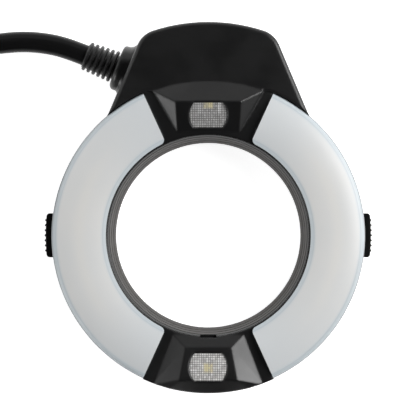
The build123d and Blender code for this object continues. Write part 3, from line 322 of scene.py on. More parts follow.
# Finishes: the reach of edge wear, the depth of metal lines, and how wear and polish change a finish
EDGE_WEAR_REACH = 0.0003
WORN_LIGHTER = 1.25
METAL_LINE_DEPTH = 0.000006
METAL_DARKER = 0.8
METAL_SMOOTHER = 0.06
METAL_ROUGHER = 0.08


def new_finish(name, roughness, metallic=0.0, specular=0.5):
    """A material with a principled shader and the piece's own place as a socket."""
    finish = bpy.data.materials.new(name)
    finish.use_nodes = True
    tree = finish.node_tree
    shader = tree.nodes["Principled BSDF"]
    shader.inputs["Roughness"].default_value = roughness
    shader.inputs["Metallic"].default_value = metallic
    shader.inputs["Specular IOR Level"].default_value = specular
    place = tree.nodes.new("ShaderNodeTexCoord").outputs["Object"]
    return finish, tree, shader, place


def use_group(tree, group, place):
    """Place a shared effect in a material."""
    node = tree.nodes.new("ShaderNodeGroup")
    node.node_tree = group
    connect(tree, place, node.inputs["Place"])
    return node


def bump(tree, shader, height, depth):
    """Raise a height pattern on the shader's normal."""
    node = tree.nodes.new("ShaderNodeBump")
    node.inputs["Distance"].default_value = depth
    node.inputs["Strength"].default_value = 1.0
    connect(tree, height, node.inputs["Height"])
    connect(tree, node.outputs["Normal"], shader.inputs["Normal"])


def moulded_finish(name, color, rubbed, roughness, spread=0.07, depth=0.00004, specular=0.5):
    """Moulded plastic or rubber: grain, handling marks and brighter edges."""
    finish, tree, shader, place = new_finish(name, roughness, specular=specular)
    marks = use_group(tree, handling_group, place).outputs["Marks"]
    wear = use_group(tree, edge_group, place)
    wear.inputs["Reach"].default_value = EDGE_WEAR_REACH
    lighter = tuple(channel * WORN_LIGHTER for channel in color)
    worn = mix_colors(tree, marks, color, lighter)
    worn = mix_colors(tree, wear.outputs["Edge"], worn, rubbed)
    connect(tree, worn, shader.inputs["Base Color"])
    polished = range_node(tree, marks, 0, 1, roughness + spread, roughness - spread)
    connect(tree, polished, shader.inputs["Roughness"])
    bump(tree, shader, use_group(tree, grain_group, place).outputs["Height"], depth)
    return finish


def metal_finish(name, color, roughness, stretch=(400, 400, 4000)):
    """Worked metal: fine lines along one direction and a cloudy polish."""
    finish, tree, shader, place = new_finish(name, roughness, metallic=1.0)
    lines = noise_node(tree, stretch_node(tree, place, stretch), scale=1, detail=3, roughness=0.6)
    cloud = noise_node(tree, place, scale=160, detail=3, roughness=0.5)
    darker = tuple(channel * METAL_DARKER for channel in color)
    connect(tree, mix_colors(tree, cloud, color, darker), shader.inputs["Base Color"])
    brushed = range_node(tree, lines, 0.3, 0.7, roughness - METAL_SMOOTHER, roughness + METAL_ROUGHER)
    connect(tree, brushed, shader.inputs["Roughness"])
    bump(tree, shader, lines, METAL_LINE_DEPTH)
    return finish


SHELL_BLACK = (0.0042, 0.0042, 0.0044)
SHELL_RUBBED = (0.02, 0.02, 0.0205)
SHELL_ROUNDING = 0.0011


def make_shell_finish():
    """Satin black moulding of the two housings, with softly rounded edges."""
    finish = moulded_finish("shell_black", SHELL_BLACK, SHELL_RUBBED, 0.32, spread=0.04, depth=0.00003)
    tree = finish.node_tree
    rounded = tree.nodes.new("ShaderNodeBevel")
    rounded.samples = 8
    rounded.inputs["Radius"].default_value = SHELL_ROUNDING
    raised = [node for node in tree.nodes if node.bl_idname == "ShaderNodeBump"][0]
    connect(tree, rounded.outputs["Normal"], raised.inputs["Normal"])
    return finish


# Colours of the diffusers, how much of some of them, and angles and radii where they change
DIFFUSER_COLORS = {
    "middle": (0.66, 0.66, 0.65),
    "end": (0.60, 0.625, 0.64),
    "cloud": (0.62, 0.635, 0.64),
    "tube": (0.70, 0.685, 0.65),
    # Painted shade towards the rims of the band
    "rim": (0.50, 0.56, 0.595),
    # A thin line of painted shade near each rim
    "shade_line": (0.36, 0.42, 0.46),
    # Painted shade on the outer edge
    "edge": (0.24, 0.26, 0.28),
}
CLOUD_SHARE = 0.5
TUBE_SHARE = 0.4
RIM_SHADE_SHARE = 0.75
SHADE_LINE_SHARE = 0.3
END_ANGLES = (0.35, 1.16)
TUBE_ANGLES = (0.95, 0.2)
TUBE_HALF_WIDTH = 0.0035
BAND_MIDDLE = 0.0447
BAND_RIM_SHADE = (0.0070, 0.0086)
RIM_SHADE_LINE = 0.0081
SHADE_LINE_WIDTHS = (0.0003, 0.00005)
OUTER_EDGE_SHADE = (0.05385, 0.0542)


def make_diffuser_finish():
    """Opal plastic: cooler and darker towards its ends, warm along the tube behind it, with painted cool shade
    at its rims.
    """
    finish, tree, shader, place = new_finish("diffuser_opal", roughness=0.3)
    shader.inputs["Subsurface Weight"].default_value = 0.25
    shader.inputs["Subsurface Radius"].default_value = (1.0, 1.0, 1.0)
    shader.inputs["Subsurface Scale"].default_value = 0.0015
    around = use_group(tree, round_group, place)
    radius, angle = around.outputs["Radius"], around.outputs["Angle"]
    off_middle = distance_node(tree, radius, BAND_MIDDLE)
    colors = DIFFUSER_COLORS
    to_end = range_node(tree, angle, *END_ANGLES)
    color = mix_colors(tree, to_end, colors["middle"], colors["end"])
    cloud = range_node(tree, noise_node(tree, place, scale=38, detail=3, roughness=0.5), 0.3, 0.72)
    color = mix_colors(tree, math_node(tree, "MULTIPLY", cloud, CLOUD_SHARE), color, colors["cloud"])
    tube_glow = range_node(tree, off_middle, TUBE_HALF_WIDTH, 0)
    to_side = range_node(tree, angle, *TUBE_ANGLES, 0, TUBE_SHARE)
    color = mix_colors(tree, math_node(tree, "MULTIPLY", tube_glow, to_side), color, colors["tube"])
    # Painted shade: darker and cooler towards both rims, where the crown rounds off
    to_rim_shade = range_node(tree, off_middle, *BAND_RIM_SHADE)
    color = mix_colors(tree, math_node(tree, "MULTIPLY", to_rim_shade, RIM_SHADE_SHARE), color, colors["rim"])
    # A thin line of painted shade near each rim
    shade_line = range_node(tree, distance_node(tree, off_middle, RIM_SHADE_LINE), *SHADE_LINE_WIDTHS)
    color = mix_colors(tree, math_node(tree, "MULTIPLY", shade_line, SHADE_LINE_SHARE), color, colors["shade_line"])
    # Painted shade on the outer edge, where it sits in the black ledge
    color = mix_colors(tree, range_node(tree, radius, *OUTER_EDGE_SHADE), color, colors["edge"])
    connect(tree, color, shader.inputs["Base Color"])
    bump(tree, shader, use_group(tree, grain_group, place).outputs["Height"], depth=0.00001)
    return finish


FUNNEL_COLORS = ((0.068, 0.062, 0.057), (0.044, 0.041, 0.039))
FUNNEL_RIM_COLOR = (0.006, 0.006, 0.006)
FUNNEL_RIM = (0.03425, 0.0345)
FUNNEL_LEVELS = (0.007, 0.021)
FUNNEL_RINGS = 900


def make_liner_finish():
    """Grey-brown turned plastic of the bore's funnel, black on its flat rim."""
    finish, tree, shader, place = new_finish("liner_grey", roughness=0.42, specular=0.15)
    around = use_group(tree, round_group, place)
    rings = tree.nodes.new("ShaderNodeTexWave")
    rings.wave_type = "RINGS"
    rings.rings_direction = "Z"
    rings.inputs["Scale"].default_value = FUNNEL_RINGS
    rings.inputs["Distortion"].default_value = 1.5
    connect(tree, place, rings.inputs["Vector"])
    cloud = noise_node(tree, place, scale=90, detail=3, roughness=0.5)
    color = mix_colors(tree, cloud, *FUNNEL_COLORS)
    rim = range_node(tree, around.outputs["Radius"], *FUNNEL_RIM)
    connect(tree, mix_colors(tree, rim, color, FUNNEL_RIM_COLOR), shader.inputs["Base Color"])
    deeper = range_node(tree, around.outputs["Level"], *FUNNEL_LEVELS, 0.55, 0.4)
    connect(tree, deeper, shader.inputs["Roughness"])
    bump(tree, shader, rings.outputs["Fac"], depth=0.00002)
    return finish


# Prisms of the lamp windows, where the lamp and painted reflections of its cup show through them, and their
# colours
PRISM_PITCH = 0.00078
PRISM_SHADE_LINE = (0.31, 0.47)
LAMP_OFFSET = 0.0457
LAMP_PATCH = (0.0021, 0.0010)
CUP_REFLECTIONS = ((0.0038, 0.0007, 0.9), (-0.0031, 0.0010, 0.4))
REFLECTION_CORE = 0.0001
REFLECTION_MIDDLE = -0.0014
REFLECTION_LENGTHS = (0.0030, 0.0012)
WINDOW_COLORS = {
    "dim": ((0.38, 0.375, 0.37), (0.54, 0.535, 0.53)),
    "bright": ((0.54, 0.53, 0.52), (0.90, 0.89, 0.88)),
    # Painted reflection of the lamp's cup
    "cup": (0.9, 0.9, 0.9),
    "lamp": (0.78, 0.70, 0.45),
    # Painted shade between the prisms
    "line": (0.085, 0.083, 0.082),
}


def make_window_finish():
    """Clear moulded window: square prisms with painted shade lines between them, the lamp behind, and painted
    glints and cup reflections.
    """
    finish, tree, shader, place = new_finish("window_clear", roughness=0.22)
    shader.inputs["Transmission Weight"].default_value = 0.25
    shader.inputs["IOR"].default_value = 1.49
    parts = parts_node(tree, place)
    cell = tree.nodes.new("ShaderNodeCombineXYZ")
    cell_shade_lines = []
    for axis in ("X", "Y"):
        count = math_node(tree, "DIVIDE", parts[axis], PRISM_PITCH)
        connect(tree, math_node(tree, "FLOOR", count), cell.inputs[axis])
        off_centre = distance_node(tree, math_node(tree, "FRACT", count), 0.5)
        cell_shade_lines.append(range_node(tree, off_centre, *PRISM_SHADE_LINE))
    lines = math_node(tree, "MAXIMUM", *cell_shade_lines)
    # Each prism gets a painted glint, a random brightness of its own, for the sparkle of its faces
    chance = tree.nodes.new("ShaderNodeTexWhiteNoise")
    connect(tree, cell.outputs[0], chance.inputs["Vector"])
    glint = chance.outputs["Value"]
    # The lamp shows as a pale yellow patch
    across = parts["X"]
    along = math_node(tree, "SUBTRACT", math_node(tree, "ABSOLUTE", parts["Y"]), LAMP_OFFSET)
    off_across = math_node(tree, "ABSOLUTE", across)
    off_along = math_node(tree, "ABSOLUTE", along)
    lamp = range_node(tree, math_node(tree, "MAXIMUM", off_across, off_along), *LAMP_PATCH)
    lamp = math_node(tree, "MULTIPLY", lamp, range_node(tree, glint, 0, 0.5, 0.5, 1))
    # The bright cup round it shows as two soft streaks of painted reflection
    streaks = []
    for offset, width, share in CUP_REFLECTIONS:
        away = distance_node(tree, across, offset)
        streaks.append(math_node(tree, "MULTIPLY", range_node(tree, away, width, REFLECTION_CORE), share))
    near = range_node(tree, distance_node(tree, along, REFLECTION_MIDDLE), *REFLECTION_LENGTHS)
    cup_reflection = math_node(tree, "MULTIPLY", math_node(tree, "MAXIMUM", *streaks), near)
    # The lower window is painted lighter than the upper one, as it catches more light
    dim = mix_colors(tree, glint, *WINDOW_COLORS["dim"])
    bright = mix_colors(tree, glint, *WINDOW_COLORS["bright"])
    color = mix_colors(tree, range_node(tree, parts["Y"], -0.02, 0.02), bright, dim)
    color = mix_colors(tree, cup_reflection, color, WINDOW_COLORS["cup"])
    color = mix_colors(tree, lamp, color, WINDOW_COLORS["lamp"])
    # Painted shade lines between the prisms, fainter over the lamp
    shadow = math_node(tree, "MULTIPLY", lines, range_node(tree, lamp, 0, 1, 0.85, 0.5))
    color = mix_colors(tree, shadow, color, WINDOW_COLORS["line"])
    connect(tree, color, shader.inputs["Base Color"])
    return finish


def make_lamp_finish():
    """Phosphor of the lamps: pale yellow with lighter grains."""
    finish, tree, shader, place = new_finish("lamp_yellow", roughness=0.35)
    spots = noise_node(tree, place, scale=2400, detail=2, roughness=0.5)
    color = mix_colors(tree, spots, (0.86, 0.72, 0.28), (0.9, 0.84, 0.55))
    connect(tree, color, shader.inputs["Base Color"])
    bump(tree, shader, spots, depth=0.00002)
    return finish


def make_glass_finish():
    """Quartz glass of the flash tubes, with faint streaks."""
    finish, tree, shader, place = new_finish("tube_glass", roughness=0.05)
    shader.inputs["Transmission Weight"].default_value = 0.85
    shader.inputs["IOR"].default_value = 1.46
    streaks = noise_node(tree, place, scale=120, detail=3, roughness=0.5)
    color = mix_colors(tree, streaks, (0.93, 0.93, 0.9), (0.82, 0.84, 0.84))
    connect(tree, color, shader.inputs["Base Color"])
    return finish


def make_strap_finish():
    """Woven strap: crossed yarns with a fuzzy nap."""
    finish, tree, shader, place = new_finish("strap_fabric", roughness=0.9, specular=0.2)
    shader.inputs["Sheen Weight"].default_value = 0.3
    yarns = tree.nodes.new("ShaderNodeTexChecker")
    yarns.inputs["Scale"].default_value = 1400
    yarns.inputs["Color1"].default_value = (0.02, 0.02, 0.022, 1)
    yarns.inputs["Color2"].default_value = (0.045, 0.045, 0.048, 1)
    connect(tree, place, yarns.inputs["Vector"])
    nap = noise_node(tree, place, scale=2600, detail=3, roughness=0.7)
    color = mix_colors(tree, nap, yarns.outputs["Color"], (0.03, 0.03, 0.033))
    connect(tree, color, shader.inputs["Base Color"])
    bump(tree, shader, math_node(tree, "ADD", yarns.outputs["Fac"], nap), depth=0.0001)
    return finish


def make_board_finish():
    """Green solder mask over copper tracks."""
    finish, tree, shader, place = new_finish("board_green", roughness=0.3)
    tracks = tree.nodes.new("ShaderNodeTexBrick")
    tracks.inputs["Scale"].default_value = 420
    tracks.inputs["Mortar Size"].default_value = 0.06
    tracks.inputs["Color1"].default_value = (0.03, 0.16, 0.07, 1)
    tracks.inputs["Color2"].default_value = (0.035, 0.18, 0.08, 1)
    tracks.inputs["Mortar"].default_value = (0.06, 0.27, 0.13, 1)
    connect(tree, place, tracks.inputs["Vector"])
    connect(tree, tracks.outputs["Color"], shader.inputs["Base Color"])
    bump(tree, shader, tracks.outputs["Fac"], depth=0.00003)
    return finish


# Mouldings: colour, colour where rubbed, roughness, and what differs from the defaults
MOULDINGS = {
    "frame_black": ((0.03, 0.03, 0.031), (0.07, 0.07, 0.07), 0.5, {}),
    "button_black": ((0.004, 0.0038, 0.0036), (0.014, 0.013, 0.012), 0.4, {"specular": 0.12}),
    "boot_rubber": ((0.005, 0.005, 0.0052), (0.02, 0.02, 0.02), 0.36, {"spread": 0.05, "depth": 0.00005}),
    "cable_jacket": (
        (0.0055, 0.0055, 0.0057),
        (0.01, 0.01, 0.01),
        0.2,
        {"spread": 0.03, "depth": 0.00003, "specular": 0.12},
    ),
    "plug_black": ((0.02, 0.02, 0.021), (0.06, 0.06, 0.06), 0.4, {}),
    "core_dark": ((0.09, 0.075, 0.06), (0.2, 0.18, 0.15), 0.6, {"depth": 0.00008}),
    "capacitor_sleeve": ((0.02, 0.025, 0.06), (0.08, 0.09, 0.14), 0.25, {}),
    "holder_silicone": ((0.6, 0.6, 0.58), (0.7, 0.7, 0.68), 0.6, {}),
}

# Metals: colour, roughness, and how far their lines are stretched along each axis
METALS = {
    "cup_bright": ((0.8, 0.8, 0.79), 0.3, (400, 400, 4000)),
    "reflector_metal": ((0.85, 0.85, 0.86), 0.2, (60, 60, 3000)),
    "cap_metal": ((0.62, 0.62, 0.6), 0.3, (400, 400, 4000)),
    "screw_steel": ((0.12, 0.12, 0.125), 0.35, (1500, 1500, 1500)),
    "spring_steel": ((0.55, 0.55, 0.56), 0.28, (400, 400, 4000)),
    "yoke_steel": ((0.5, 0.5, 0.51), 0.32, (60, 2500, 2500)),
    "plug_metal": ((0.72, 0.72, 0.73), 0.18, (2500, 2500, 200)),
    "pin_gold": ((0.83, 0.62, 0.27), 0.2, (2500, 2500, 200)),
}

finishes = {
    "shell_black": make_shell_finish(),
    "diffuser_opal": make_diffuser_finish(),
    "liner_grey": make_liner_finish(),
    "window_clear": make_window_finish(),
    "lamp_yellow": make_lamp_finish(),
    "tube_glass": make_glass_finish(),
    "strap_fabric": make_strap_finish(),
    "board_green": make_board_finish(),
}
for name, (color, rubbed, roughness, changes) in MOULDINGS.items():
    finishes[name] = moulded_finish(name, color, rubbed, roughness, **changes)
for name, (color, roughness, stretch) in METALS.items():
    finishes[name] = metal_finish(name, color, roughness, stretch)


def wear_finish(piece, name):
    """Give a piece one finish."""
    piece.data.materials.clear()
    piece.data.materials.append(finishes[name])


wear_finish(lead, "cable_jacket")
for part in frame["record"]["subparts"]:
    if part["material_slot"] in finishes:
        wear_finish(nodes[part["node"]], part["material_slot"])

# Modelling helpers
MERGE_DISTANCE = 0.00001
SAME_FACE = math.radians(1)


def deselect_all():
    """Nothing selected, in object mode."""
    if bpy.context.object and bpy.context.object.mode != "OBJECT":
        bpy.ops.object.mode_set(mode="OBJECT")
    bpy.ops.object.select_all(action="DESELECT")


def make_active(piece):
    """Only this piece is selected and active."""
    deselect_all()
    piece.select_set(True)
    bpy.context.view_layer.objects.active = piece


def apply_modifiers(piece):
    """Apply every modifier of a piece, in order."""
    make_active(piece)
    for modifier in list(piece.modifiers):
        bpy.ops.object.modifier_apply(modifier=modifier.name)


def settle(piece, finish, slot, *stands_for):
    """Zero the piece's place, give it its finish and let it ride on the head."""
    make_active(piece)
    bpy.ops.object.transform_apply(location=True, rotation=True, scale=True)
    wear_finish(piece, finish)
    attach(piece, "head")
    if stands_for:
        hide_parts(*stands_for)
    return piece


def copy_of(node, name):
    """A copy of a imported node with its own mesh."""
    copy = bpy.data.objects.new(name, nodes[node].data.copy())
    scene.collection.objects.link(copy)
    return copy


def merged_copy(node, name):
    """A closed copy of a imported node, with its loose triangles joined into whole faces."""
    copy = copy_of(node, name)
    make_active(copy)
    bpy.ops.object.mode_set(mode="EDIT")
    bpy.ops.mesh.select_all(action="SELECT")
    bpy.ops.mesh.remove_doubles(threshold=MERGE_DISTANCE)
    bpy.ops.mesh.dissolve_limited(angle_limit=SAME_FACE)
    bpy.ops.object.mode_set(mode="OBJECT")
    return copy


def select_by_place(piece, test):
    """Select the vertices whose own place passes the test, from object mode."""
    for vertex in piece.data.vertices:
        vertex.select = test(vertex.co)
    for edge in piece.data.edges:
        edge.select = all(piece.data.vertices[i].select for i in edge.vertices)
    for face in piece.data.polygons:
        face.select = all(piece.data.vertices[i].select for i in face.vertices)


# Front cover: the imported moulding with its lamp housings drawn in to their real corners
LEDGE_LEVEL = 0.022
LEDGE_MARGIN = 0.00005
RING_EDGE = 0.0546
RING_EDGE_MARGIN = 0.0004
COVER_CREASE = math.radians(13)
STRAIGHT_UP = 0.9999

# Upper housing: the brow's arc, and its two corners
BROW_SPAN = (0.05, 0.0555)
BROW_HALF_WIDTH = 0.0191
BROW_RADIUS = 0.0538
BROW_LEVEL = 0.0225
CORNER_START = (0.0185, 0.0512, 0.0224)
CORNER_TOP = 0.0532
CORNER_TOP_DRAWN = 0.0501
CORNER_SHARE = 0.35
FACE_CORNER_END = 0.0514
FACE_CORNER_DRAWN = (0.01895, 0.0499)

# Lower housing: the corners of its facets, each with its bounds across, along Y and in level, and its shift
FACET_CORNERS = (
    ((0.0095, 0.0107), (-0.0391, -0.0384), (0.0238, 0.03), (-0.0021, 0)),
    ((0.0115, 0.0122), (-0.0500, -0.0492), (0.0251, 0.03), (-0.0018, -0.0004)),
    ((0.0119, 0.0125), (-0.0347, -0.0341), (0.02195, 0.0222), (0.0001, 0.0002)),
)
LOWER_START = -0.033
FOOT_START = (0.0070, 0.0544, 0.02203)
FOOT_END = 0.0189
FOOT_END_START = 0.0152
FOOT_END_SHARE = 0.3
FOOT_END_HEIGHT = 0.35
FOOT_HEIGHT = 0.75


def within(value, bounds):
    """Whether a value lies between two bounds."""
    return bounds[0] < value < bounds[1]


def draw_upper(co, new, side, across, reach):
    """Move a point of the upper housing's brow to the arc, and its corners down to it."""
    start_across, start_along, start_level = CORNER_START
    if across > start_across and co.y > start_along and co.z > start_level:
        if co.y < FACE_CORNER_END:
            new.x, new.y = side * FACE_CORNER_DRAWN[0], FACE_CORNER_DRAWN[1]
        else:
            new.y = CORNER_TOP_DRAWN + (co.y - CORNER_TOP) * CORNER_SHARE
    elif abs(reach - RING_EDGE) < RING_EDGE_MARGIN and across < start_across:
        new.x, new.y = co.x * BROW_RADIUS / reach, co.y * BROW_RADIUS / reach
        new.z = max(co.z, BROW_LEVEL)


def draw_lower(co, new, side, across, reach):
    """Move a corner of the lower housing's facets, or narrow and lower its foot."""
    for bounds_across, bounds_along, bounds_level, (outwards, along) in FACET_CORNERS:
        if within(across, bounds_across) and within(co.y, bounds_along) and within(co.z, bounds_level):
            new.x += side * outwards
            new.y += along
            return
    foot_across, foot_reach, foot_level = FOOT_START
    if across > foot_across and reach > foot_reach and co.z > foot_level:
        height = FOOT_HEIGHT
        if across > FOOT_END_START:
            height = FOOT_END_HEIGHT
            new.x = side * (FOOT_END - (FOOT_END - across) * FOOT_END_SHARE)
        new.z = LEDGE_LEVEL + (co.z - LEDGE_LEVEL) * height
        new.y = -math.sqrt(reach * reach - new.x * new.x)


def drawn_in(co):
    """Where a point of the lamp housings goes; points elsewhere stay."""
    side = 1 if co.x > 0 else -1
    across = abs(co.x)
    reach = math.hypot(co.x, co.y)
    new = co.copy()
    if co.z < LEDGE_LEVEL - LEDGE_MARGIN:
        return new
    if within(co.y, BROW_SPAN) and across < BROW_HALF_WIDTH:
        draw_upper(co, new, side, across, reach)
    elif co.y < LOWER_START:
        draw_lower(co, new, side, across, reach)
    return new


def make_cover():
    """The front cover with its brow arc and narrower lower housing."""
    cover = merged_copy("front_cover", "cover")
    for vertex in cover.data.vertices:
        vertex.co = drawn_in(vertex.co)
    make_active(cover)
    bpy.ops.object.mode_set(mode="EDIT")
    bpy.ops.mesh.select_all(action="SELECT")
    bpy.ops.mesh.quads_convert_to_tris(quad_method="BEAUTY", ngon_method="BEAUTY")
    bpy.ops.object.mode_set(mode="OBJECT")
    if cover.data.has_custom_normals:
        bpy.ops.mesh.customdata_custom_splitnormals_clear()
    bpy.ops.object.shade_smooth_by_angle(angle=COVER_CREASE)
    # Faces that look straight up keep their own normals, and the roundings beside them take up the bend
    for face in cover.data.polygons:
        face.select = face.normal.z > STRAIGHT_UP
    bpy.context.tool_settings.mesh_select_mode = (False, False, True)
    bpy.ops.object.mode_set(mode="EDIT")
    bpy.ops.mesh.mod_weighted_strength(set=True, face_strength="STRONG")
    bpy.ops.object.mode_set(mode="OBJECT")
    bpy.context.tool_settings.mesh_select_mode = (True, False, False)
    weighed = cover.modifiers.new("weighed_normals", "WEIGHTED_NORMAL")
    weighed.mode = "FACE_AREA"
    weighed.weight = 50
    weighed.keep_sharp = True
    weighed.use_face_influence = True
    apply_modifiers(cover)
    settle(cover, "shell_black", "shell_black", "front_cover")


make_cover()

# Collar: the flared foot of the lead's boss, as places along the lead and radii there
COLLAR_PROFILE = (
    (0.0005, 0.0050),
    (0.0040, 0.0050),
    (0.00435, 0.0053),
    (0.00435, 0.0071),
    (0.0041, 0.0076),
    (0.0035, 0.00785),
    (0.0024, 0.0080),
    (0.0014, 0.0085),
    (0.0006, 0.0094),
    (0.0, 0.0101),
    (-0.0007, 0.0106),
    (-0.0024, 0.0106),
    (-0.0024, 0.0050),
)
COLLAR_HALF_HEIGHT = 0.0078
COLLAR_OFFSET = Vector((0.00024, 0.0006, 0))
COLLAR_SIDES = 56
COLLAR_CREASE = math.radians(35)


def make_collar():
    """The collar, drawn out ring by ring along the lead and closed on itself."""
    deselect_all()
    start, start_radius = COLLAR_PROFILE[0]
    bpy.ops.mesh.primitive_circle_add(vertices=COLLAR_SIDES, radius=start_radius, location=(0, 0, 0))
    collar = bpy.context.object
    collar.name = "boss_collar"
    bpy.ops.object.mode_set(mode="EDIT")
    bpy.ops.transform.translate(value=(0, 0, start))
    along, radius = start, start_radius
    for new_along, new_radius in COLLAR_PROFILE[1:]:
        ratio = new_radius / radius
        bpy.ops.mesh.extrude_edges_move(TRANSFORM_OT_translate={"value": (0, 0, new_along - along)})
        bpy.ops.transform.resize(value=(ratio, ratio, 1), center_override=(0, 0, new_along))
        along, radius = new_along, new_radius
    bpy.ops.object.mode_set(mode="OBJECT")
    # Close the last ring onto the first
    total = len(collar.data.vertices)
    for vertex in collar.data.vertices:
        vertex.select = vertex.index < COLLAR_SIDES or vertex.index >= total - COLLAR_SIDES
    bpy.ops.object.mode_set(mode="EDIT")
    bpy.ops.mesh.bridge_edge_loops()
    bpy.ops.mesh.select_all(action="SELECT")
    bpy.ops.mesh.normals_make_consistent(inside=False)
    bpy.ops.object.mode_set(mode="OBJECT")
    # Flatten the wide rings, so that the collar stays within the housing's height
    for vertex in collar.data.vertices:
        reach = math.hypot(vertex.co.x, vertex.co.y)
        if reach > COLLAR_HALF_HEIGHT:
            vertex.co.x *= COLLAR_HALF_HEIGHT / reach
    turn = Matrix.Rotation(LEAD_ANGLE, 4, "Z") @ Matrix.Rotation(math.pi / 2, 4, "Y")
    collar.matrix_world = Matrix.Translation(LEAD_CROSS + COLLAR_OFFSET) @ turn
    make_active(collar)
    bpy.ops.object.transform_apply(location=True, rotation=True, scale=True)
    bpy.ops.object.shade_smooth_by_angle(angle=COLLAR_CREASE)
    settle(collar, "shell_black", "shell_black")


make_collar()

# Lamp windows: a sheet of small square prisms, cut to the window's outline
PRISM_COLUMNS = 18
PRISM_ROWS = 14
PRISM_HEIGHT = 0.0001
WINDOW_THICKNESS = 0.0012
WINDOW_RECESS = 0.00025

# Each window's middle along Y, and two points (Y, level) of the plateau that it is sunk in
UPPER_WINDOW = (0.0417, (0.0356, 0.0220), (0.0463, 0.0257))
LOWER_WINDOW = (-0.0453, (-0.0496, 0.0254), (-0.0387, 0.0241))


def window_place(middle, first, second):
    """The middle of a window's top face, and the tilt of its plateau."""
    slope = (second[1] - first[1]) / (second[0] - first[0])
    tilt = math.atan(slope)
    level = first[1] + (middle - first[0]) * slope
    sink = WINDOW_RECESS + PRISM_HEIGHT
    centre = Vector((0, middle + sink * math.sin(tilt), level - sink * math.cos(tilt)))
    return centre, tilt


def make_window(node, name, place):
    """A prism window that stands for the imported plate."""
    deselect_all()
    width, length = PRISM_COLUMNS * PRISM_PITCH, PRISM_ROWS * PRISM_PITCH
    bpy.ops.mesh.primitive_grid_add(
        x_subdivisions=2 * PRISM_COLUMNS, y_subdivisions=2 * PRISM_ROWS, size=1, location=(0, 0, 0)
    )
    window = bpy.context.object
    window.name = name
    bpy.ops.object.mode_set(mode="EDIT")
    bpy.ops.transform.resize(value=(width, length, 1))
    bpy.ops.object.mode_set(mode="OBJECT")
    half = PRISM_PITCH / 2

    def is_peak(co):
        """Whether a vertex is the middle of a prism."""
        column = round((co.x + width / 2) / half)
        row = round((co.y + length / 2) / half)
        return column % 2 == 1 and row % 2 == 1

    # Raise the middle of each prism
    select_by_place(window, is_peak)
    bpy.ops.object.mode_set(mode="EDIT")
    bpy.ops.transform.translate(value=(0, 0, PRISM_HEIGHT))
    # Close the sheet into a slab
    bpy.ops.mesh.select_all(action="SELECT")
    bpy.ops.mesh.region_to_loop()
    bpy.ops.mesh.extrude_edges_move(TRANSFORM_OT_translate={"value": (0, 0, -WINDOW_THICKNESS)})
    bpy.ops.mesh.edge_face_add()
    bpy.ops.mesh.select_all(action="SELECT")
    bpy.ops.mesh.normals_make_consistent(inside=False)
    bpy.ops.object.mode_set(mode="OBJECT")
    centre, tilt = window_place(*place)
    window.matrix_world = Matrix.Translation(centre) @ Matrix.Rotation(tilt, 4, "X")
    make_active(window)
    bpy.ops.object.transform_apply(location=True, rotation=True, scale=True)
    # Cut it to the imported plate's outline
    cutter = merged_copy(node, name + "_outline")
    keep = window.modifiers.new("outline", "BOOLEAN")
    keep.operation = "INTERSECT"
    keep.solver = "EXACT"
    keep.object = cutter
    apply_modifiers(window)
    bpy.data.objects.remove(cutter)
    settle(window, "window_clear", "window_clear", node)


make_window("upper_lamp_window", "upper_window", UPPER_WINDOW)
make_window("lower_lamp_window", "lower_window", LOWER_WINDOW)

# Strap: round the two stacked turns on the coil's right side
STRAP_WIDTH = 0.008
STRAP_THICKNESS = 0.0005
STRAP_GAP = 0.00035
STRAP_ROUNDING = 0.00012
STRAP_SIDES = 64


def make_strap():
    """A woven strap that hugs the bottom and the top turn of the coil."""
    low = coil_point(0.75)
    high = coil_point(1.75)
    rise = (high.z - low.z) / 2
    deselect_all()
    radius = LEAD_RADIUS + STRAP_GAP
    bpy.ops.mesh.primitive_circle_add(vertices=STRAP_SIDES, radius=radius, location=(0, 0, 0))
    strap = bpy.context.object
    strap.name = "strap"
    # Stand the ring up across the lead and part it into two halves, one round each turn
    make_active(strap)
    bpy.ops.object.mode_set(mode="EDIT")
    bpy.ops.transform.rotate(value=-math.pi / 2, orient_axis="X", center_override=(0, 0, 0))
    bpy.ops.object.mode_set(mode="OBJECT")
    for side in (1, -1):
        select_by_place(strap, lambda co, side=side: co.z * side > 0.00001)
        bpy.ops.object.mode_set(mode="EDIT")
        bpy.ops.transform.translate(value=(0, 0, side * rise))
        bpy.ops.object.mode_set(mode="OBJECT")
    # Draw it out to the strap's width
    select_by_place(strap, lambda co: True)
    bpy.ops.object.mode_set(mode="EDIT")
    bpy.ops.mesh.extrude_edges_move(TRANSFORM_OT_translate={"value": (0, STRAP_WIDTH, 0)})
    bpy.ops.mesh.select_all(action="SELECT")
    bpy.ops.transform.translate(value=(0, -STRAP_WIDTH / 2, 0))
    bpy.ops.mesh.subdivide(number_cuts=3)
    bpy.ops.mesh.normals_make_consistent(inside=False)
    bpy.ops.object.mode_set(mode="OBJECT")
    thick = strap.modifiers.new("thickness", "SOLIDIFY")
    thick.thickness = STRAP_THICKNESS
    thick.offset = 1
    apply_modifiers(strap)
    strap.location = ((low.x + high.x) / 2, COIL_CENTRE[1], (low.z + high.z) / 2)
    soft = strap.modifiers.new("soft_edges", "BEVEL")
    soft.width = STRAP_ROUNDING
    soft.segments = 2
    soft.limit_method = "ANGLE"
    apply_modifiers(strap)
    return settle(strap, "strap_fabric", "tie_fabric", "cable_tie")


strap = make_strap()


def make_spring(side):
    """A button's spring, which in the flash sits between its seat in the frame and the button: here a steel
    copy of the imported spring, in its place.
    """
    node = side + "_button_spring"
    spring = copy_of(node, side + "_spring")
    wear_finish(spring, "spring_steel")
    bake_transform(spring)
    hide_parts(node)


make_spring("left")
make_spring("right")

# Floor: pale, and lifted to plain white for camera, transmission and glossy rays where no shadow lies
FLOOR_SIZE = 6
FLOOR_LEVEL = -0.00005
FLOOR_PALE = 0.86
FLOOR_LIFT = 0.87


